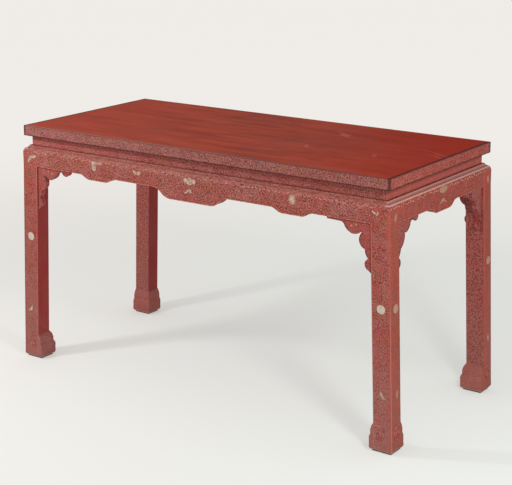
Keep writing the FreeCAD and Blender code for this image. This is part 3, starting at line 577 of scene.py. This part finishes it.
def leg_lines(finish, colour, leg, streaks):
    f = finish
    under_apron, under_turn = f.z.below(APRON_EDGE, 0.002), f.z.below(TURN_FOOT, 0.002)
    inward = leg.side_depth.step(LEG_X - 0.0015, LEG_X - 0.0005) * f.z.above(HOOF_HEAD, 0.01)
    brushed = streaks.step(0.3, 0.7) * 0.25 + 0.75
    colour = f.mixed(inward * under_apron * brushed, colour, DEEP_RED)
    frame_line = leg.side_depth.near(LEG_X - FRAME_LINE, FRAME_LINE) * leg.on_front * under_apron
    colour = f.mixed(frame_line * 0.45, colour, PALE_LINE)
    # Painted highlight beside the outer arris on the side faces.
    side_highlight = leg.front_depth.near(HIGHLIGHT_IN, HIGHLIGHT_HALF) * leg.on_side * under_turn
    colour = f.mixed(side_highlight * 0.45, colour, SIDE_HIGHLIGHT)
    # Painted highlight along the inner edge of the back legs' side faces.
    inner_highlight = leg.front_depth.near(LEG_Y - INNER_HIGHLIGHT_IN, INNER_HIGHLIGHT_HALF)
    colour = f.mixed(inner_highlight * leg.on_side * leg.at_back * 0.6, colour, INNER_HIGHLIGHT)
    # Painted highlight beside the outer arris on the front faces, strongest on the near leg.
    front_highlight = leg.side_depth.near(HIGHLIGHT_IN, HIGHLIGHT_HALF) * leg.on_front * under_turn
    return f.mixed(front_highlight * (leg.not_near * -0.3 + 0.4), colour, FRONT_HIGHLIGHT)


print("bands", HIGHLIGHT_HALF * 2000, "mm wide at most")

# %% [markdown]
# Arrises and toes
#
# The outer arris carries painted light in two ways. On the near leg it is a thin pale line of painted
# highlight, stronger low down, and on the other three a dark line of painted shade. Every toe has a
# pale rubbed edge above the dark joint with its pad.

# %% Finish of the legs
ARRIS_SHADE, PALE_TOE = seen(98, 56, 52), seen(188, 156, 146)
TOE_LINE, TOE_LINE_HALF, PAD_JOINT = 0.0075, 0.003, 0.0055
ARRIS_SHADE_EDGE, ARRIS_SHADE_CORE, ARRIS_HIGHLIGHT_EDGE, ARRIS_HIGHLIGHT_CORE = 0.0055, 0.002, 0.0026, 0.0012


def leg_arrises(finish, colour, leg):
    f = finish
    under_turn, depth = f.z.below(TURN_FOOT, 0.002), leg.side_depth + leg.front_depth
    # Painted shade: a dark line along the outer arris of the other three legs.
    shaded_arris = depth.step(ARRIS_SHADE_EDGE, ARRIS_SHADE_CORE) * under_turn * leg.not_near
    colour = f.mixed(shaded_arris * 0.5, colour, ARRIS_SHADE)
    # Painted highlight: a thin pale line along the near leg's outer arris, stronger low down.
    pale = depth.step(ARRIS_HIGHLIGHT_EDGE, ARRIS_HIGHLIGHT_CORE) * under_turn * (1 - leg.not_near)
    return f.mixed(pale * (f.z.below(LOWER_LEG, 0.1) * 0.45 + 0.2), colour, PALE_LINE)


def leg_finish():
    f = Finish("leg_red")
    leg = LegFaces(f)
    streaks = f.noise(40, 3, stretch=(1, 1, 0.25))
    colour, height = leg_ground(f, leg, streaks)
    colour = leg_lines(f, colour, leg, streaks)
    colour = leg_arrises(f, colour, leg)
    colour = banded(f, colour, leg.on_front.most(leg.on_side).most(f.z.above(TURN_FOOT)))
    colour = f.mixed(f.z.near(TOE_LINE, TOE_LINE_HALF) * 0.6, colour, PALE_TOE)
    return satin(f, f.mixed(f.z.below(PAD_JOINT), colour, DARK_LINE), height)


leg_red = leg_finish()
print("finishes", [m.name for m in bpy.data.materials])

# %% [markdown]
# The rim of the top
#
# The rim is figured like the sides, but browner and more worn, with its own pits and pale grains.
# The short side is redder, and towards the left end the long side turns mauve.

# %% Rim
RIM_BROWN, RIM_RED, RIM_MAUVE = seen(134, 88, 84), seen(188, 82, 72), seen(164, 120, 124)
RIM_PIT, RIM_GRAIN = seen(90, 46, 42), seen(178, 130, 106)


def rim_figure(finish, short):
    f = finish
    colour, height = figured(f, rose=0.35)
    colour = f.mixed(0.3 - short * 0.25, colour, RIM_BROWN)
    colour = f.mixed(short * 0.35, colour, RIM_RED)
    colour = f.mixed(f.x.step(0.2, -0.6) * (1 - short) * 0.1, colour, RIM_MAUVE)
    pits = f.dots(150, 0.36, 0.22) * f.patches(36, 0.38, 0.5)
    colour = f.mixed(pits * 0.7, colour, RIM_PIT)
    grains = f.dots(135, 0.3, 0.15) * f.patches(44, 0.45, 0.55)
    return f.mixed(grains * 0.4, colour, RIM_GRAIN), height


print("rim", round((TOP - RAIL_FOOT) * 1000), "mm high")

# %% [markdown]
# The upper face
#
# The upper face is plain lacquer, rubbed smooth, with faint streaks from the brush, softer clouds
# and a few hairline scratches. Light is painted across it as well: a painted sheen pales the left
# end, and towards the near right end it is painted deeper, as painted shade. The streaks are a noise
# that is stretched along the table. The scratches are the thin places where a very wide noise passes
# one value, which gives long, wandering lines.

# %% Upper face
STREAK_DARK, STREAK_LIGHT, CLOUD = seen(130, 48, 33), seen(153, 63, 44), seen(126, 56, 44)
SMEAR_LIGHT, SMEAR_DARK, HAIRLINE = seen(158, 62, 42), seen(118, 46, 34), seen(186, 104, 86)
NEAR_END, LEFT_END_SHEEN = seen(141, 28, 6), seen(170, 62, 46)


def upper_face(finish, streaks):
    f = finish
    colour = f.mixed(streaks.step(0.3, 0.7), STREAK_DARK, STREAK_LIGHT)
    colour = f.mixed(f.patches(3.2, 0.4, 0.7, detail=3) * 0.55, colour, CLOUD)
    smears = f.noise(9, 4, stretch=(0.6, 1.4, 1), rough=0.65)
    colour = f.mixed(smears.step(0.5, 0.7) * 0.5, colour, SMEAR_LIGHT)
    colour = f.mixed(smears.step(0.48, 0.3) * 0.5, colour, SMEAR_DARK)
    # Painted shade: the top deepens towards the near right end.
    colour = f.mixed((f.x + f.y * 0.6).step(0.1, 0.9) * 0.95, colour, NEAR_END)
    # Painted sheen: the left end is painted paler.
    colour = f.mixed(f.x.step(-0.1, -0.6) * 0.25, colour, LEFT_END_SHEEN)
    wandering = f.noise(2.2, 1, stretch=(0.5, 3, 1)).near(0.5, 0.003)
    return f.mixed(wandering * f.patches(3, 0.5, 0.6) * 0.35, colour, HAIRLINE)


print("upper face at", TOP)

# %% [markdown]
# Worn edges of the top
#
# The arrises are worn through to a grey brown. Along the long edge the wear is grey on the left and
# dark on the right, along the short edge it is darkest and widest, and at the corners it makes a
# dark upright line. The dark line along the rim's lower arris is partly that wear and partly painted
# shade, where the rim overhangs the waist. Some noise moves its borders. One finish serves rails and
# panel, because height alone tells top from rim.

# %% Finish of the top
LONG_EDGE_LEFT, LONG_EDGE_RIGHT, SHORT_EDGE = seen(138, 104, 98), seen(84, 56, 56), seen(62, 26, 20)
RIM_FOOT_LONG, RIM_FOOT_SHORT, RIM_HEAD = seen(80, 30, 28), seen(66, 20, 12), seen(98, 64, 60)
LONG_WEAR, SHORT_WEAR, CORNER_WEAR = (0.0065, 0.003), (0.0125, 0.007), (0.009, 0.005)
RIM_FOOT_WEAR_AND_SHADE, RIM_HEAD_WEAR = (0.0046, 0.002), (0.0045, 0.002)
TOP_SPECULAR = 0.012


def worn_top_edges(finish, colour, wear):
    f = finish
    long_edge = (TOP_Y - f.y.size() + wear).step(*LONG_WEAR)
    short_edge = (TOP_X - f.x.size() + wear).step(*SHORT_WEAR)
    worn = f.mixed(f.x.step(0, 0.45), LONG_EDGE_LEFT, LONG_EDGE_RIGHT)
    colour = f.mixed(long_edge * 0.9, colour, worn)
    return f.mixed(short_edge * 0.9, colour, SHORT_EDGE)


def worn_and_shaded_rim_edges(finish, colour, wear, short):
    f = finish
    # The dark rim foot is partly a dark worn arris and partly painted shade where the rim overhangs the
    # waist.
    foot = (f.z + wear * 0.6 - RAIL_FOOT).step(*RIM_FOOT_WEAR_AND_SHADE)
    colour = f.mixed(foot * 0.85, colour, f.mixed(short, RIM_FOOT_LONG, RIM_FOOT_SHORT))
    head = (TOP - f.z - wear * 0.4).step(*RIM_HEAD_WEAR)
    colour = f.mixed(head * 0.8, colour, RIM_HEAD)
    corner = ((TOP_X - f.x.size()) + (TOP_Y - f.y.size())).step(*CORNER_WEAR)
    return f.mixed(corner * 0.85, colour, DARK_LINE)


def top_finish():
    f = Finish("top_red")
    short = f.x.past(TOP_X - 0.0005, 0.0005)
    streaks = f.noise(8, 3, stretch=(0.4, 2.6, 1))
    wear = (f.noise(50, 3) - 0.5) * 0.003
    colour, height = rim_figure(f, short)
    colour = worn_and_shaded_rim_edges(f, colour, wear, short)
    upper = f.z.above(TOP - 0.0006, 0.0005)
    colour = f.mixed(upper, colour, worn_top_edges(f, upper_face(f, streaks), wear))
    height = height * (1 - upper) + streaks * upper * 0.1
    return f.set(
        base_color=colour,
        roughness=(1 - upper) * 0.08 + f.noise(9, 4) * 0.14 + 0.46,
        specular_ior_level=TOP_SPECULAR,
        normal=f.bump(height, 0.0005, 0.6),
    )


top_red = top_finish()
print("finishes", [m.name for m in bpy.data.materials])

# %% [markdown]
# The brackets
#
# The brackets are redder and smoother than the boards they hang from. Their carved walls are plain
# and painted lighter, a painted highlight for the light that they catch. A dark line of painted shade
# lies where the set-back bracket meets the leg, and each long bracket has two tiny dots of shell near
# its top.

# %% Finish of the brackets
BRACKET_DARK, BRACKET_LIGHT = seen(122, 50, 46), seen(164, 78, 68)
WALL_DARK, WALL_LIGHT, JOINT_SHADE = seen(146, 58, 56), seen(176, 88, 82), seen(110, 34, 34)
SHELL_DOTS, DOT_HALF = ((0.603, 0.693), (0.620, 0.699)), 0.0028
JOINT_SHADE_NEAR, JOINT_SHADE_FAR = 0.0025, 0.006


def bracket_finish():
    f = Finish("bracket_red")
    grain = f.noise(120, 3, rough=0.6)
    colour, _ = figured(f, 0.75, -0.1)
    colour = f.mixed(0.35, colour, f.mixed(grain.step(0.35, 0.65), BRACKET_DARK, BRACKET_LIGHT))
    for across, up in SHELL_DOTS:
        dot = f.x.size().near(across, DOT_HALF) * f.z.near(up, DOT_HALF)
        colour = f.mixed(dot * 0.8, colour, FLECK)
    on_long = f.y.past(FACE_Y - BRACKET_SETBACK - 0.0002, 0.0006)
    on_short = f.x.past(FACE_X - BRACKET_SETBACK - 0.0002, 0.0006)
    # Painted highlight: the walls take a lighter plain colour.
    wall_highlight = f.mixed(grain.step(0.4, 0.65), WALL_DARK, WALL_LIGHT)
    colour = f.mixed(on_long.most(on_short), wall_highlight, colour)
    side_depth, front_depth = leg_depths(f)
    # Painted shade where the set-back bracket meets the leg.
    long_joint_shade = side_depth.step(LEG_X + JOINT_SHADE_FAR, LEG_X + JOINT_SHADE_NEAR) * on_long
    short_joint_shade = front_depth.step(LEG_Y + JOINT_SHADE_FAR, LEG_Y + JOINT_SHADE_NEAR) * on_short
    colour = f.mixed(long_joint_shade.most(short_joint_shade) * 0.6, colour, JOINT_SHADE)
    return satin(f, colour, grain, 0.0005)


bracket_red = bracket_finish()
print("shell dots on the brackets", SHELL_DOTS)

# %% [markdown]
# Shell
#
# Shell is pale with faint brown and rose clouds, and each plate has hair-thin cracks. In places its
# face is lost and the brown of the glue shows. The round plate on the front of each leg is the
# palest, and the plates on the short sides have yellowed most.

# %% Finish of the shell
SHELL_PALE, SHELL_BROWN, SHELL_ROSE = seen(196, 172, 154), seen(158, 138, 114), seen(206, 168, 152)
CRACK, LOST_FACE = seen(116, 78, 66), seen(146, 84, 72)
ROUNDEL, YELLOWED = seen(210, 204, 192), seen(156, 104, 68)
ROUNDEL_HEIGHT, ROUNDEL_HALF = 0.454, 0.02


def shell_finish():
    f = Finish("shell")
    clouds = f.noise(70, 3)
    colour = f.mixed(clouds.step(0.35, 0.6), SHELL_PALE, SHELL_BROWN)
    colour = f.mixed(f.patches(110, 0.5, 0.7) * 0.6, colour, SHELL_ROSE)
    cracks = f.cells(140, "DISTANCE_TO_EDGE").step(0.05, 0.015)
    colour = f.mixed(cracks * 0.8, colour, CRACK)
    lost = f.patches(130, 0.48, 0.58) * (f.z.above(0.69, 0.01) * 0.5 + 0.15)
    colour = f.mixed(lost, colour, LOST_FACE)
    roundel = f.z.near(ROUNDEL_HEIGHT, ROUNDEL_HALF) * f.y.step(-0.2, -0.25)
    colour = f.mixed(roundel * (1 - cracks) * 0.5, colour, ROUNDEL)
    colour = f.mixed(f.x.past(FACE_X - 0.005) * 0.7, colour, YELLOWED)
    return f.set(
        base_color=colour,
        roughness=clouds * 0.2 + 0.2,
        specular_ior_level=0.4,
        normal=f.bump(1 - cracks, 0.0003, 0.6),
    )


shell = shell_finish()
print("round plates at", ROUNDEL_HEIGHT)

# %% [markdown]
# Lines and wood
#
# The raised lines are lacquer too, rubbed lighter than the ground. The beads round the shoulder are
# pale, with a row of dots along the short sides. Behind the aprons the wood was left nearly bare,
# the battens under the top have one thin red coat, and the pads are dark wood. Grain is a noise
# that is stretched along the piece.

# %% Finishes of lines and wood
BEAD_PALE, BEAD_DOT = seen(198, 164, 154), seen(212, 178, 166)
BEAD_DOT_WAVE = 560


def line_finish(name, light, dark, beaded=False):
    """The finish of a thin line; a beaded one has a row of pale dots along the short sides."""
    f = Finish(name)
    rub = f.noise(90, 3)
    colour = f.mixed(rub.step(0.35, 0.65), dark, light)
    if beaded:
        short = f.x.past(FACE_X - SHOULDER_IN)
        colour = f.mixed(short * 0.55, colour, BEAD_PALE)
        dots = (f.y * BEAD_DOT_WAVE).wave().step(-0.2, 0.7)
        dots = dots * f.z.below(TURN_HEAD + 0.004)
        colour = f.mixed(short * dots * 0.7, colour, BEAD_DOT)
    return f.set(
        base_color=colour,
        roughness=rub * 0.2 + 0.4,
        normal=f.bump(rub, 0.0003, 0.5),
        specular_ior_level=LACQUER_SPECULAR,
    )


def wood_finish(name, light, dark, stretch):
    f = Finish(name)
    grain = f.noise(60, 4, stretch=stretch, rough=0.6)
    colour = f.mixed(grain.step(0.3, 0.7), dark, light)
    return f.set(base_color=colour, roughness=grain * 0.2 + 0.5, normal=f.bump(grain, 0.0004, 0.5))


pale_line = line_finish("pale_line", seen(164, 106, 96), seen(138, 74, 66), True)
lip_red = line_finish("lip_red", seen(190, 116, 102), seen(148, 74, 66))
edge_purple = line_finish("edge_purple", seen(158, 92, 94), seen(92, 42, 50))
carved_red = line_finish("carved_red", seen(190, 112, 102), seen(150, 72, 66))
bare_wood = wood_finish("bare_wood", seen(170, 132, 96), seen(120, 86, 58), (6, 6, 0.6))
batten_red = wood_finish("batten_red", seen(120, 52, 44), seen(84, 36, 32), (6, 0.5, 6))
dark_wood = wood_finish("dark_wood", seen(92, 74, 66), seen(52, 38, 34), (1, 6, 6))
print("finishes", [m.name for m in bpy.data.materials])

# %% [markdown]
# Dress the packed pieces
#
# Every packed piece takes a finish by the start of its name, and where two starts fit, the longer
# one wins. The finish goes into the slots that the piece already has, so its mesh isn't touched.

# %% Dress the packed pieces
FINISH_OF = {
    "top_": top_red,
    "top_batten": batten_red,
    "waist": front_red,
    "waist_left": short_side_red,
    "waist_right": short_side_red,
    "apron": front_red,
    "apron_left": short_side_red,
    "apron_right": short_side_red,
    "apron_keys": bare_wood,
    "leg": leg_red,
    "bracket": bracket_red,
    "bracket_pegs": bare_wood,
    "shell": shell,
    "foot_pads": dark_wood,
}
for name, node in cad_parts.items():
    longest = max((start for start in FINISH_OF if name.startswith(start)), key=len)
    for slot in node.material_slots:
        slot.material = FINISH_OF[longest]
print("dressed", len(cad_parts), "nodes")

# %% [markdown]
# Helpers for new pieces
#
# An operator acts on all that is selected, so each step first selects its one piece alone. A
# finished piece gets its name, its finish, the body it rides on and the material slot it stands
# for. Where seams are merged, points closer than a hundredth of a millimetre become one.


# %% Helpers for new pieces
MERGE_WITHIN = 0.00001


def alone(piece):
    """Selects this piece and nothing else."""
    bpy.ops.object.select_all(action="DESELECT")
    piece.select_set(True)
    bpy.context.view_layer.objects.active = piece


def hand_in(piece, name, finish):
    piece.name = piece.data.name = name
    piece.data.materials.clear()
    piece.data.materials.append(finish)
    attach(piece, "root")
    return piece


# %% [markdown]
# Raised lines round the shoulder
#
# Two thin beads run round the whole table on the slope between waist and aprons. A maker runs them
# along the boards with a scratch stock before the lacquer goes on. A bead could be a curve with a
# round section, but at the corners that section pinches. Here a flat frame is inset from one plane
# and drawn up, which keeps its mitres true, and a bevel rounds it.


# %% Shoulder beads
def shoulder_bead(name, inwards, foot, width):
    bpy.ops.object.select_all(action="DESELECT")
    bpy.ops.mesh.primitive_plane_add(size=2, location=(0, 0, foot))
    bead = bpy.context.object
    bead.scale = (FACE_X - inwards, FACE_Y - inwards, 1)
    bpy.ops.object.transform_apply(location=True, rotation=False, scale=True)
    bpy.ops.object.mode_set(mode="EDIT")
    bpy.ops.mesh.select_all(action="SELECT")
    bpy.ops.mesh.inset(thickness=width)
    bpy.ops.mesh.delete(type="FACE")
    bpy.ops.mesh.select_all(action="SELECT")
    bpy.ops.mesh.extrude_region_move(TRANSFORM_OT_translate={"value": (0, 0, width)})
    bpy.ops.mesh.select_all(action="SELECT")
    bpy.ops.mesh.normals_make_consistent(inside=False)
    bpy.ops.object.mode_set(mode="OBJECT")
    rounding = bead.modifiers.new("rounding", "BEVEL")
    rounding.width = width * 0.3
    rounding.segments = 2
    bpy.ops.object.modifier_apply(modifier="rounding")
    bpy.ops.object.shade_smooth_by_angle(angle=math.radians(40))
    return hand_in(bead, name, pale_line)


upper_bead = shoulder_bead("upper_bead", inwards=0.0152, foot=0.7758, width=0.0028)
lower_bead = shoulder_bead("lower_bead", inwards=0.0035, foot=0.7668, width=0.0036)
print("beads", [len(bead.data.polygons) for bead in (upper_bead, lower_bead)])

# %% [markdown]
# The lines along the lower edges
#
# A fine rounded lip follows every bend of the aprons' lower edge, and a darker one outlines the
# brackets. They could be drawn again as curves, but each board already has its edge, so a copy of
# its mesh is merged, only the sharp edges on its outer face are kept, and they become a curve with
# a round section. The long straight edges where a bracket meets leg and apron are left out.

# %% One lip
JOINT_LENGTH, ON_FACE, SHARP = 0.1, 0.0001, math.radians(35)


def is_lip_edge(edge, board, axis, face):
    """True for a selected edge on the board's outer face that isn't part of a straight joint."""
    low = all(v.co.z < APRON_EDGE + ON_FACE for v in edge.verts)
    out = all(abs(abs(v.co[axis]) - face) < ON_FACE for v in edge.verts)
    joint = board.startswith("bracket") and edge.calc_length() > JOINT_LENGTH
    return edge.select and low and out and not joint


def edge_lip(board, axis, face, finish, radius):
    lip = bpy.data.objects.new(board + "_lip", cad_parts[board].data.copy())
    bpy.context.scene.collection.objects.link(lip)
    alone(lip)
    bpy.ops.object.mode_set(mode="EDIT")
    bpy.ops.mesh.select_mode(type="EDGE")
    bpy.ops.mesh.select_all(action="SELECT")
    bpy.ops.mesh.remove_doubles(threshold=MERGE_WITHIN)
    bpy.ops.mesh.select_all(action="DESELECT")
    bpy.ops.mesh.edges_select_sharp(sharpness=SHARP)
    shape = bmesh.from_edit_mesh(lip.data)
    kept = [edge for edge in shape.edges if is_lip_edge(edge, board, axis, face)]
    for edge in shape.edges:
        edge.select_set(False)
    for edge in kept:
        edge.select_set(True)
    bmesh.update_edit_mesh(lip.data)
    bpy.ops.mesh.select_all(action="INVERT")
    bpy.ops.mesh.delete(type="EDGE")
    bpy.ops.object.mode_set(mode="OBJECT")
    bpy.ops.object.convert(target="CURVE")
    lip = bpy.context.object
    lip.data.bevel_depth = radius
    lip.data.bevel_resolution = 2
    lip.data.use_fill_caps = True
    bpy.ops.object.convert(target="MESH")
    lip = bpy.context.object
    bpy.ops.object.shade_smooth_by_angle(angle=math.radians(50))
    return hand_in(lip, board + "_lip", finish)


print("an edge longer than", JOINT_LENGTH, "m on a bracket is a joint")

# %% [markdown]
# Lips on every side
#
# Each side has one apron and two brackets. The long sides face along y, which is axis 1, and the
# short sides along x. The brackets stand a little behind the aprons.

# %% Lips on every side
APRON_LIP, BRACKET_LIP = 0.0014, 0.0016
SIDES = (("front", 1, FACE_Y), ("back", 1, FACE_Y), ("right", 0, FACE_X), ("left", 0, FACE_X))
lips = []
for side, axis, face in SIDES:
    lips.append(edge_lip("apron_" + side, axis, face, lip_red, APRON_LIP))
    for end in ("left", "right") if axis else ("front", "back"):
        board, bracket_face = f"bracket_{side}_{end}", face - BRACKET_SETBACK
        lips.append(edge_lip(board, axis, bracket_face, edge_purple, BRACKET_LIP))
for lip in lips:
    heights = [v.co.z for v in lip.data.vertices]
    print(lip.name, len(lip.data.polygons), "faces, z", round(min(heights), 4), round(max(heights), 4))

# %% [markdown]
# Scrolls on the feet
#
# Each outer face of a foot carries a raised line that starts at the inner edge, sweeps over the
# foot and curls up inside itself. A carver sets it out with a compass, as arcs whose centres move
# in as the radius shrinks, and the spin tool does just that: a small ring is spun round one centre,
# and then its end round the next. One scroll is made flat, and copies of it are laid on the eight
# leaning faces.

# %% One scroll
SCROLL_WIRE, SCROLL_SIDES, SCROLL_STEPS = 0.0023, 6, 9
SCROLL_CENTRE = (0.711, 0.0645)
SCROLL_RADII = (0.0225, 0.0125, 0.0080, 0.0045)
SCROLL_START, SCROLL_FIRST_TURN, SCROLL_NEXT_TURNS = (math.radians(a) for a in (150, 210, 180))


def foot_scroll():
    bpy.ops.object.select_all(action="DESELECT")
    across, up = SCROLL_CENTRE
    angle, largest = SCROLL_START, SCROLL_RADII[0]
    start = (across + largest * math.cos(angle), 0, up + largest * math.sin(angle))
    heading = (0, math.atan2(math.sin(angle), -math.cos(angle)), 0)
    bpy.ops.mesh.primitive_circle_add(
        vertices=SCROLL_SIDES, radius=SCROLL_WIRE, location=start, rotation=heading
    )
    scroll = bpy.context.object
    bpy.ops.object.transform_apply(location=True, rotation=True, scale=True)
    bpy.ops.object.mode_set(mode="EDIT")
    bpy.ops.mesh.select_all(action="SELECT")
    for number, radius in enumerate(SCROLL_RADII):
        turn = SCROLL_NEXT_TURNS if number else SCROLL_FIRST_TURN
        bpy.ops.mesh.spin(steps=SCROLL_STEPS, angle=-turn, center=(across, 0, up), axis=(0, 1, 0))
        angle -= turn
        if number + 1 < len(SCROLL_RADII):
            step = radius - SCROLL_RADII[number + 1]
            across += step * math.cos(angle)
            up += step * math.sin(angle)
    bpy.ops.mesh.select_all(action="SELECT")
    bpy.ops.mesh.remove_doubles(threshold=MERGE_WITHIN)
    bpy.ops.mesh.fill_holes(sides=0)
    bpy.ops.mesh.normals_make_consistent(inside=False)
    bpy.ops.object.mode_set(mode="OBJECT")
    return scroll


scroll = foot_scroll()
print("scroll", len(scroll.data.polygons), "faces")

# %% [markdown]
# Eight scrolls
#
# A matrix shears the flat scroll onto the leaning front face of the near leg, and another turns it
# onto that leg's side face. Mirrored signs carry both to the other legs. A mirrored mesh is inside
# out, so each copy has its normals recalculated.

# %% Lay the scroll on the outer faces of the feet
lean_x, lean_y = SPLAY_X / APRON_EDGE, SPLAY_Y / APRON_EDGE
SCROLL_TO_SIDE = 0.4109
ON_FRONT = Matrix(((1, 0, 0, 0), (0, 1, lean_y, -(FACE_Y + SPLAY_Y)), (0, 0, 1, 0), (0, 0, 0, 1)))
ON_SIDE = Matrix(
    ((0, -1, -lean_x, FACE_X + SPLAY_X), (-1, 0, 0, SCROLL_TO_SIDE), (0, 0, 1, 0), (0, 0, 0, 1))
)
for face, laid in (("long", ON_FRONT), ("short", ON_SIDE)):
    for x_name, x_sign in (("right", 1), ("left", -1)):
        for y_name, y_sign in (("front", 1), ("back", -1)):
            copy = bpy.data.objects.new("scroll_copy", scroll.data.copy())
            bpy.context.scene.collection.objects.link(copy)
            copy.data.transform(Matrix.Diagonal((x_sign, y_sign, 1, 1)) @ laid)
            alone(copy)
            bpy.ops.object.mode_set(mode="EDIT")
            bpy.ops.mesh.select_all(action="SELECT")
            bpy.ops.mesh.normals_make_consistent(inside=False)
            bpy.ops.object.mode_set(mode="OBJECT")
            bpy.ops.object.shade_smooth_by_angle(angle=math.radians(60))
            hand_in(copy, f"foot_scroll_{y_name}_{x_name}_{face}", carved_red)
alone(scroll)
bpy.ops.object.delete()

# %% [markdown]
# The floor
#
# The photograph has a pale seamless ground with faint soft shadows. A wide disc does as the floor.
# It is only a little darker than white, so that the light it throws back brightens the sides of the
# table, as a studio's ground does. Part of what the camera sees of it is a glow, which keeps it
# pale but leaves the shadows.

# %% Floor
FLOOR_RADIUS, NEAR_REACH, FAR_REACH = 60, 1.2, 4.5
FLOOR_LEFT, FLOOR_RIGHT = seen(226, 225, 221), seen(223, 231, 227)
FLOOR_FAR, FLOOR_GLOW = seen(255, 250, 246), seen(252, 249, 245)
GLOW_NEAR, GLOW_MORE_FAR = 0.4, 0.2
bpy.ops.object.select_all(action="DESELECT")
bpy.ops.mesh.primitive_circle_add(vertices=64, radius=FLOOR_RADIUS, fill_type="NGON", location=(0, 0, 0))
floor = bpy.context.object
floor.name = "floor"
ground = Finish("ground")
reach = ground.add("ShaderNodeVectorMath", {"operation": "LENGTH"}, {0: ground.place}).output("Value")
far = reach.step(NEAR_REACH, FAR_REACH)
across = (ground.x * 0.82 + ground.y * 0.58).step(-1.5, 1.0)
ground_near = ground.mixed(across, FLOOR_LEFT, FLOOR_RIGHT)
ground.set(base_color=ground.mixed(far, ground_near, FLOOR_FAR), roughness=0.9, specular_ior_level=0.0)
ray = ground.add("ShaderNodeLightPath", {}, {})
seen_ray = ray.output("Is Camera Ray").most(ray.output("Is Glossy Ray"))
seen_ray = seen_ray.most(ray.output("Is Transmission Ray"))
glow = ground.add("ShaderNodeEmission", {}, {"Color": (*FLOOR_GLOW, 1.0), "Strength": 1.0})
lit = Wire(ground, ground.shader.outputs["BSDF"])
glow_share = seen_ray * (far * GLOW_MORE_FAR + GLOW_NEAR)
both = ground.add("ShaderNodeMixShader", {}, {0: glow_share, 1: lit, 2: glow})
ground.tree.links.new(both.socket, ground.tree.nodes["Material Output"].inputs["Surface"])
floor.data.materials.append(ground.material)
print("floor", FLOOR_RADIUS * 2, "m across")

# %% [markdown]
# The sky
#
# The sky gives even light from all around. To the camera it has the colour of the far floor, so
# that no horizon shows in a low view.

# %% Sky
SKY_STRENGTH, SKY_LIGHT, BACKDROP = 0.70, (1.0, 0.99, 0.98), seen(240, 236, 231)
world = bpy.data.worlds.new("sky")
bpy.context.scene.world = world
world.use_nodes = True
sky_tree = world.node_tree
sky = sky_tree.nodes["Background"]
sky.inputs["Color"].default_value = (*SKY_LIGHT, 1.0)
sky.inputs["Strength"].default_value = SKY_STRENGTH
backdrop = sky_tree.nodes.new("ShaderNodeBackground")
backdrop.inputs["Color"].default_value = (*BACKDROP, 1.0)
sky_ray = sky_tree.nodes.new("ShaderNodeLightPath")
sky_mix = sky_tree.nodes.new("ShaderNodeMixShader")
sky_tree.links.new(sky_ray.outputs["Is Camera Ray"], sky_mix.inputs[0])
sky_tree.links.new(sky.outputs[0], sky_mix.inputs[1])
sky_tree.links.new(backdrop.outputs[0], sky_mix.inputs[2])
sky_tree.links.new(sky_mix.outputs[0], sky_tree.nodes["World Output"].inputs["Surface"])
print("sky strength", SKY_STRENGTH)

# %% [markdown]
# The lamps
#
# The shadows of the feet tell where the lamps stood: a small one at the front left and a larger one
# at the front right. A third, wide and weak, stands low in front and lights the waist under the
# rim. None of them is seen by the camera.


# %% Lamps
def lamp(name, place, aim, diameter, power):
    data = bpy.data.lights.new(name, "AREA")
    data.shape = "DISK"
    data.size = diameter
    data.energy = power
    thing = bpy.data.objects.new(name, data)
    thing.visible_camera = False
    bpy.context.scene.collection.objects.link(thing)
    towards = Vector(aim) - Vector(place)
    turned = towards.to_track_quat("-Z", "Y").to_matrix().to_4x4()
    thing.matrix_world = Matrix.Translation(place) @ turned


lamp("lamp_left", place=(-1.25, -1.25, 1.65), aim=(0.1, 0.2, 0.3), diameter=0.22, power=15.5)
lamp("lamp_right", place=(1.95, -1.15, 1.85), aim=(-0.1, 0.1, 0.3), diameter=0.36, power=19)
lamp("lamp_front", place=(0.9, -3.6, 1.1), aim=(0, 0, 0.5), diameter=2.0, power=7)
bpy.context.scene.view_settings.view_transform = "Standard"

# %% [markdown]
# Done
#
